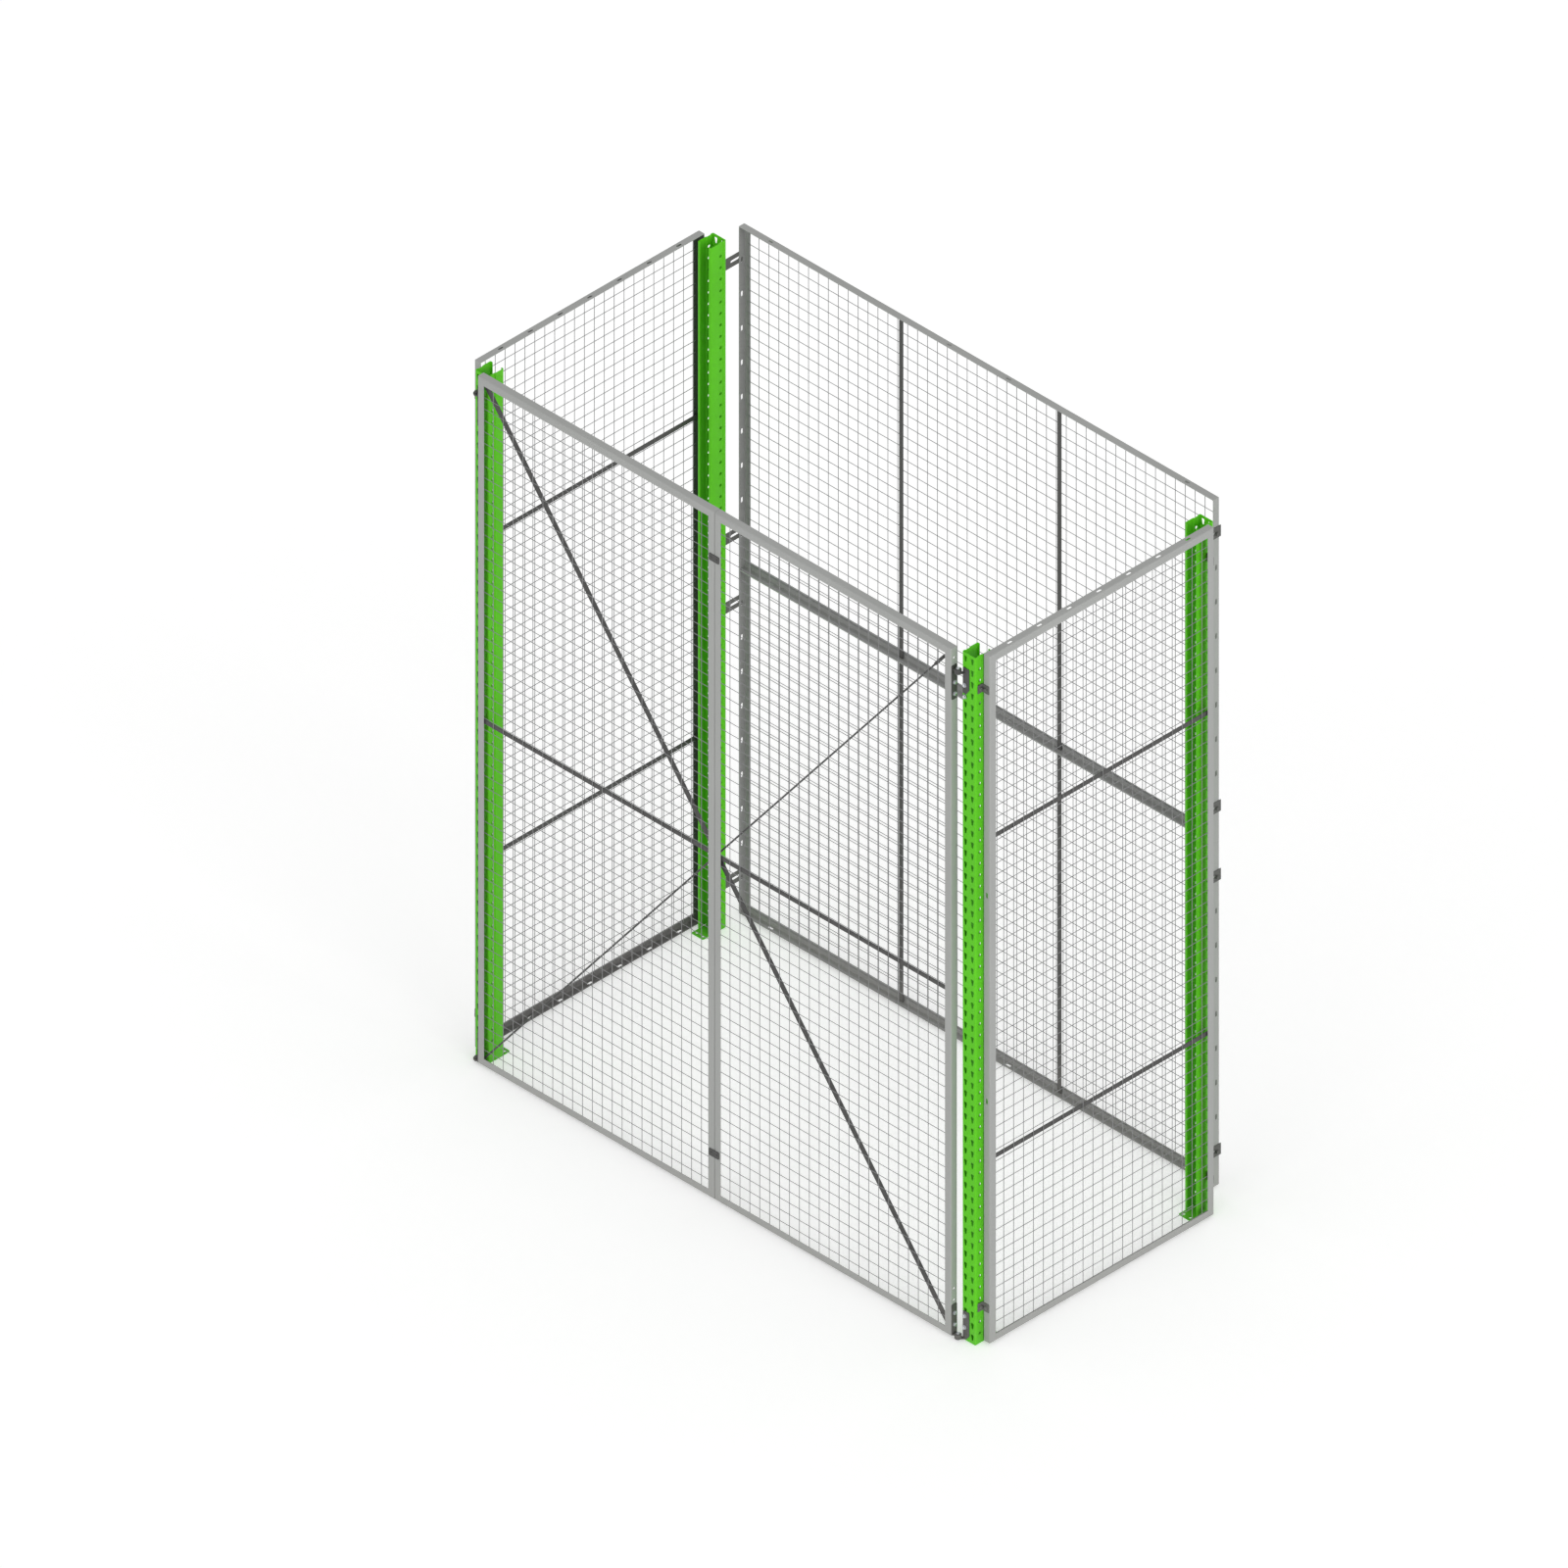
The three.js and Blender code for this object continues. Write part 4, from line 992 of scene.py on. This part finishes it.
def zinc_coat():
    """Bright zinc: a fine crystal pattern from a Voronoi tints the metal and sets its gloss."""
    paint = bpy.data.materials.new("zinc_plate")
    paint.use_nodes = True
    tree = paint.node_tree
    shader = tree.nodes["Principled BSDF"]
    shader.inputs["Metallic"].default_value = 0.85
    place = tree.nodes.new("ShaderNodeTexCoord").outputs["Object"]
    crystal = fitted(tree, "ShaderNodeTexVoronoi", {"Scale": 420.0, "Vector": place}).outputs["Distance"]
    tint = fitted(tree, "ShaderNodeMix", {
        "A": (*ZINC, 1.0), "B": (*ZINC_SHADE, 1.0), "Factor": crystal}, data_type="RGBA")
    gloss = fitted(tree, "ShaderNodeMapRange", {"To Min": 0.28, "To Max": 0.45, "Value": crystal})
    tree.links.new(tint.outputs["Result"], shader.inputs["Base Color"])
    tree.links.new(gloss.outputs["Result"], shader.inputs["Roughness"])
    return paint


zinc = zinc_coat()
stile_bolt_y = door_low[1] + MM * BAND_MIDDLE
stile_levels = {
    "lower": door_low[2] + MM * STILE_HOLES_FROM_END[:2],
    "upper": door_high[2] - MM * STILE_HOLES_FROM_END[2:],
}


def leaf_bolts(name, x, y, level, out, body):
    """The two zinc bolts of a leaf, at the levels of the stile's holes."""
    forms = [form for z in stile_levels[level] for form in hex_bolt((x, y, z), out)]
    built(f"{name}_bolts_{level}", forms, zinc, "zinc", body)


for level in ("lower", "upper"):
    pin_low, pin_high = node_box(f"hinge_pin_{level}")
    pin_x, pin_y = (pin_low[:2] + pin_high[:2]) / 2
    upper_eye = pin_high[2] - MM * (PIN_HEAD + EYE_GAP + EYE_HEIGHT)
    lower_eye = upper_eye - MM * (EYE_GAP + EYE_HEIGHT)

    low, high = node_box(f"hinge_door_leaf_{level}")
    plate = flat_section(MM * STILE_PLATE_WIDTH, high[2] - low[2], MM * PLATE_CORNER)
    near, far, half = low[0] + MM, pin_x - MM * TAB_SHORT, MM * TAB_HALF
    tab = np.array([(near, pin_y - half), (far, pin_y - half), (far, pin_y + half), (near, pin_y + half)])
    forms = [
        flat_plate(plate, 0.0, MM * PLATE, NORTH, UP, (low[0], pin_y, (low[2] + high[2]) / 2)),
        level_tab(tab, upper_eye),
        eye_ring((pin_x, pin_y, upper_eye)),
    ]
    built(f"door_hinge_leaf_{level}", forms, dark_coat, "dark_steel", "door", f"hinge_door_leaf_{level}")
    stile = low[0]

    low, high = node_box(f"hinge_post_leaf_{level}")
    width, height, cut = POST_LEAF_WIDTH, (high[2] - low[2]) / MM, LEAF_CHAMFER
    left, back = high[0] - MM * width, high[1]
    outline = np.array([
        (0.0, 0.0), (LEAF_SLANT[0], 0.0), (width, LEAF_SLANT[1]), (width, height - cut),
        (width - cut, height), (cut, height), (0.0, height - cut)]) * MM
    arm = np.concatenate([
        [(left + MM * LEAF_SLANT[0], back), (left, back)],
        np.array([pin_x, pin_y]) + MM * EYE / 2 * np.array(ARM_AT_EYE)])
    forms = [
        flat_plate(outline, 0.0, MM * PLATE, EAST, UP, (left, back, low[2])),
        level_tab(arm, lower_eye),
        eye_ring((pin_x, pin_y, lower_eye)),
    ]
    built(f"post_hinge_leaf_{level}", forms, dark_coat, "dark_steel", "cell", f"hinge_post_leaf_{level}")

    shank, head, length = PIN / 2, PIN_HEAD_RADIUS, (pin_high[2] - pin_low[2]) / MM
    pin_profile = [
        (0.0, head - 0.9), (0.8, head), (5.2, head), (PIN_HEAD, head - 0.9), (PIN_HEAD + 0.05, shank),
        (length - PIN_HEAD - 0.05, shank), (length - PIN_HEAD, head), (length - 1.2, head),
        (length - 0.3, head - 1.4), (length, head - 3.2)]
    pin = turned(pin_profile, (pin_x, pin_y, pin_low[2]), EAST, NORTH, 24)
    built(f"hinge_pin_turned_{level}", [pin], zinc, "zinc", "cell", f"hinge_pin_{level}")

    leaf_bolts("door_leaf", stile + MM * PLATE, stile_bolt_y, level, EAST, "door")
    leaf_bolts("post_leaf", left + MM * POST_BOLT_INSET, back - MM * PLATE, level, SOUTH, "cell")


# ---- Latch -------------------------------------------------------------------------------
# On the door's free edge two plates like the hinge leaves carry drilled tabs. Each tab stops just
# over a small angle on the left post, and a dark knob closes the tab's hole.

LATCH_TAB = 24.0
KEEPER_WIDTH = 22.0
KEEPER_CORNER = 1.5
TAB_LIFT = 0.5                  # of the tab over the keeper
KNOB = [                        # height and radius of its edges
    (0.0, 8.4), (0.6, 9.4), (1.8, 9.4), (2.2, 6.4), (2.8, 6.4), (3.4, 8.4), (6.4, 8.4), (7.6, 7.2),
    (8.0, 4.2)]


def nosed_tab(root, nose, width, low):
    """A level tab that runs from a plate to a round nose, with a half circle about the nose.
    Root and nose are points (x, y), and the outline is drawn counter-clockwise."""
    root, nose = np.asarray(root), np.asarray(nose)
    way = (nose - root) / np.linalg.norm(nose - root)
    side = np.array([-way[1], way[0]])
    turn, half = np.radians(np.linspace(-90.0, 90.0, 13)), MM * width / 2
    round_end = nose + half * (np.cos(turn)[:, None] * way + np.sin(turn)[:, None] * side)
    return level_tab(np.concatenate([[root - half * side], round_end, [root + half * side]]), low)


for level in ("lower", "upper"):
    low, high = node_box(f"latch_tab_{level}")
    keep_low, keep_high = node_box(f"latch_keeper_{level}")
    nose = ((keep_low[0] + keep_high[0]) / 2, (low[1] + high[1]) / 2)
    tab_z = keep_low[2] + MM * (TAB_THICKNESS + TAB_LIFT)
    plate = flat_section(MM * STILE_PLATE_WIDTH, high[2] - low[2], MM * PLATE_CORNER)
    forms = [
        flat_plate(plate, 0.0, MM * PLATE, SOUTH, UP, (high[0], nose[1], (low[2] + high[2]) / 2)),
        nosed_tab((high[0] - MM, nose[1]), nose, LATCH_TAB, tab_z),
        turned(KNOB, (*nose, tab_z + MM * TAB_THICKNESS), EAST, NORTH, 24),
    ]
    built(f"latch_plate_{level}", forms, dark_coat, "dark_steel", "door", f"latch_tab_{level}")
    leaf_bolts("latch_plate", high[0] - MM * PLATE, stile_bolt_y, level, WEST, "door")

    back = keep_high[1]
    foot = flat_section(MM * KEEPER_WIDTH, keep_high[2] - keep_low[2], MM * KEEPER_CORNER)
    forms = [
        flat_plate(foot, 0.0, MM * PLATE, EAST, UP, (nose[0], back, (keep_low[2] + keep_high[2]) / 2)),
        nosed_tab((nose[0], back - MM), nose, KEEPER_WIDTH, keep_low[2]),
    ]
    built(f"latch_keeper_angle_{level}", forms, dark_coat, "dark_steel", "cell", f"latch_keeper_{level}")


# ---- Stand-off brackets ------------------------------------------------------------------
# Eight folded 3 mm angles hold the back panels away from the rear posts. The foot is bolted
# through a slot of the post, and the arm has an oblong slot for the panel's bolt, whose nut the
# photo doesn't show. The bolts are dark like the brackets.

FOLD_RADIUS = 5.0               # outside, on these brackets and on the side brackets
ARM_SLOT_LENGTH = 50.0
ARM_SLOT_WIDTH = 12.0
ARM_SLOT_FROM_END = 51.5        # from the arm's end to the slot's middle
ARM_WINDOW = (29.0, 14.0)       # half length and half height of plan that hold the slot
ARM_PAST_PANEL = 5.0
BRACKET_GREY = (0.125, 0.125, 0.118)
FOOT_MARGIN = 14.0
BRACKET_RAISE = {"left": 13.0, "right": 4.0}     # bracket's middle over the panel's fixing point


# The slot turned a quarter, to lie along the arm, with its first point at the lower left.
arm_slot = oblong_slot(ARM_SLOT_LENGTH, ARM_SLOT_WIDTH)[:, ::-1] * np.array([-1.0, 1.0])
arm_slot = np.roll(arm_slot, 3, axis=0)
bracket_coat = coated("bracket_coat", BRACKET_GREY, (0.35, 0.6), peel=700.0, drift=0.28, lift=0.00006)


def folded_bracket(name, plan, line, start, ways, node):
    """A flat plan folded along the bracket's outer line, with the plate's thickness inside."""
    skins = folded(plan, along_line(line), (line, inner_line(line, PLATE)), start, ways)
    stands_for(sheet_shell(name, *skins), bracket_coat, "dark_steel", "cell", node)


for side, sign in (("left", -1.0), ("right", 1.0)):
    for i in range(1, 5):
        low, high = node_box(f"standoff_{side}_{i}")
        foot_length, arm_length, height = (high - low) / MM
        slot_x, slot_z = arm_length - ARM_SLOT_FROM_END, height / 2
        window_x, window_z = ARM_WINDOW
        columns = np.linspace(slot_x + window_x, slot_x - window_x, 5)
        line = np.concatenate([
            [(0.0, arm_length)],
            np.stack([np.zeros(5), columns], axis=1),
            arc((FOLD_RADIUS, FOLD_RADIUS), FOLD_RADIUS, 270.0, 180.0, 4)[::-1],
            [(FOLD_RADIUS, 0.0), (foot_length, 0.0)],
        ])
        length = along_line(line)
        levels = np.array([0.0, slot_z - window_z, slot_z, slot_z + window_z, height])
        plan = np.concatenate([
            plain_plan(length, levels, [(length[1], length[5], slot_z - window_z, slot_z + window_z)]),
            punched_plan(length[1:6], window_z, arm_slot, [slot_z]),
        ])
        near = high[0] if sign < 0 else low[0]
        start = np.array([near, low[1], low[2]])
        folded_bracket(f"standoff_bracket_{side}_{i}", plan, line, start, (sign, 1.0), f"standoff_{side}_{i}")

        middle_z = (low[2] + high[2]) / 2
        panel_bolt = (near + sign * MM * PLATE, high[1] - MM * (ARM_PAST_PANEL + BAND_MIDDLE),
                      middle_z - MM * BRACKET_RAISE[side])
        post_bolt = (near + sign * MM * (foot_length - FOOT_MARGIN), low[1] + MM * PLATE, middle_z)
        forms = hex_bolt(panel_bolt, sign * EAST, grip=0.0) + hex_bolt(post_bolt, NORTH)
        built(f"standoff_bolts_{side}_{i}", forms, bracket_coat, "dark_steel", "cell")


# ---- Side brackets -----------------------------------------------------------------------
# Eight short folded angles tie the ends of the side panels to the flanks of the posts, with one
# dark bolt into the post and one through the panel's edge leg.

PANEL_BOLT = 21.45              # from the post's flank to the middle of the panel's edge leg
POST_BOLT = 14.0

for end, way in (("front", -1.0), ("rear", 1.0)):
    for side, sign in (("left", -1.0), ("right", 1.0)):
        for level in ("lower", "upper"):
            place = f"{end}_{side}_{level}"
            node = f"side_bracket_{place}"
            low, high = node_box(node)
            size = (high - low) / MM
            flank = low[0] if sign > 0 else high[0]
            edge = low[1] if way > 0 else high[1]
            line = np.concatenate([
                [(0.0, size[1]), (0.0, FOLD_RADIUS)],
                arc((FOLD_RADIUS, FOLD_RADIUS), FOLD_RADIUS, 180.0, 270.0, 4),
                [(size[0], 0.0)],
            ])
            plan = plain_plan(along_line(line), np.linspace(0.0, size[2], 3))
            start = np.array([flank, edge, low[2]])
            folded_bracket(f"side_bracket_angle_{place}", plan, line, start, (sign, way), node)
            middle_z = (low[2] + high[2]) / 2
            post_bolt = (flank + sign * MM * PLATE, edge + way * MM * POST_BOLT, middle_z)
            panel_bolt = (flank + sign * MM * PANEL_BOLT, edge + way * MM * PLATE, middle_z)
            forms = hex_bolt(post_bolt, sign * EAST) + hex_bolt(panel_bolt, way * NORTH)
            built(f"side_bracket_bolts_{place}", forms, bracket_coat, "dark_steel", "cell")
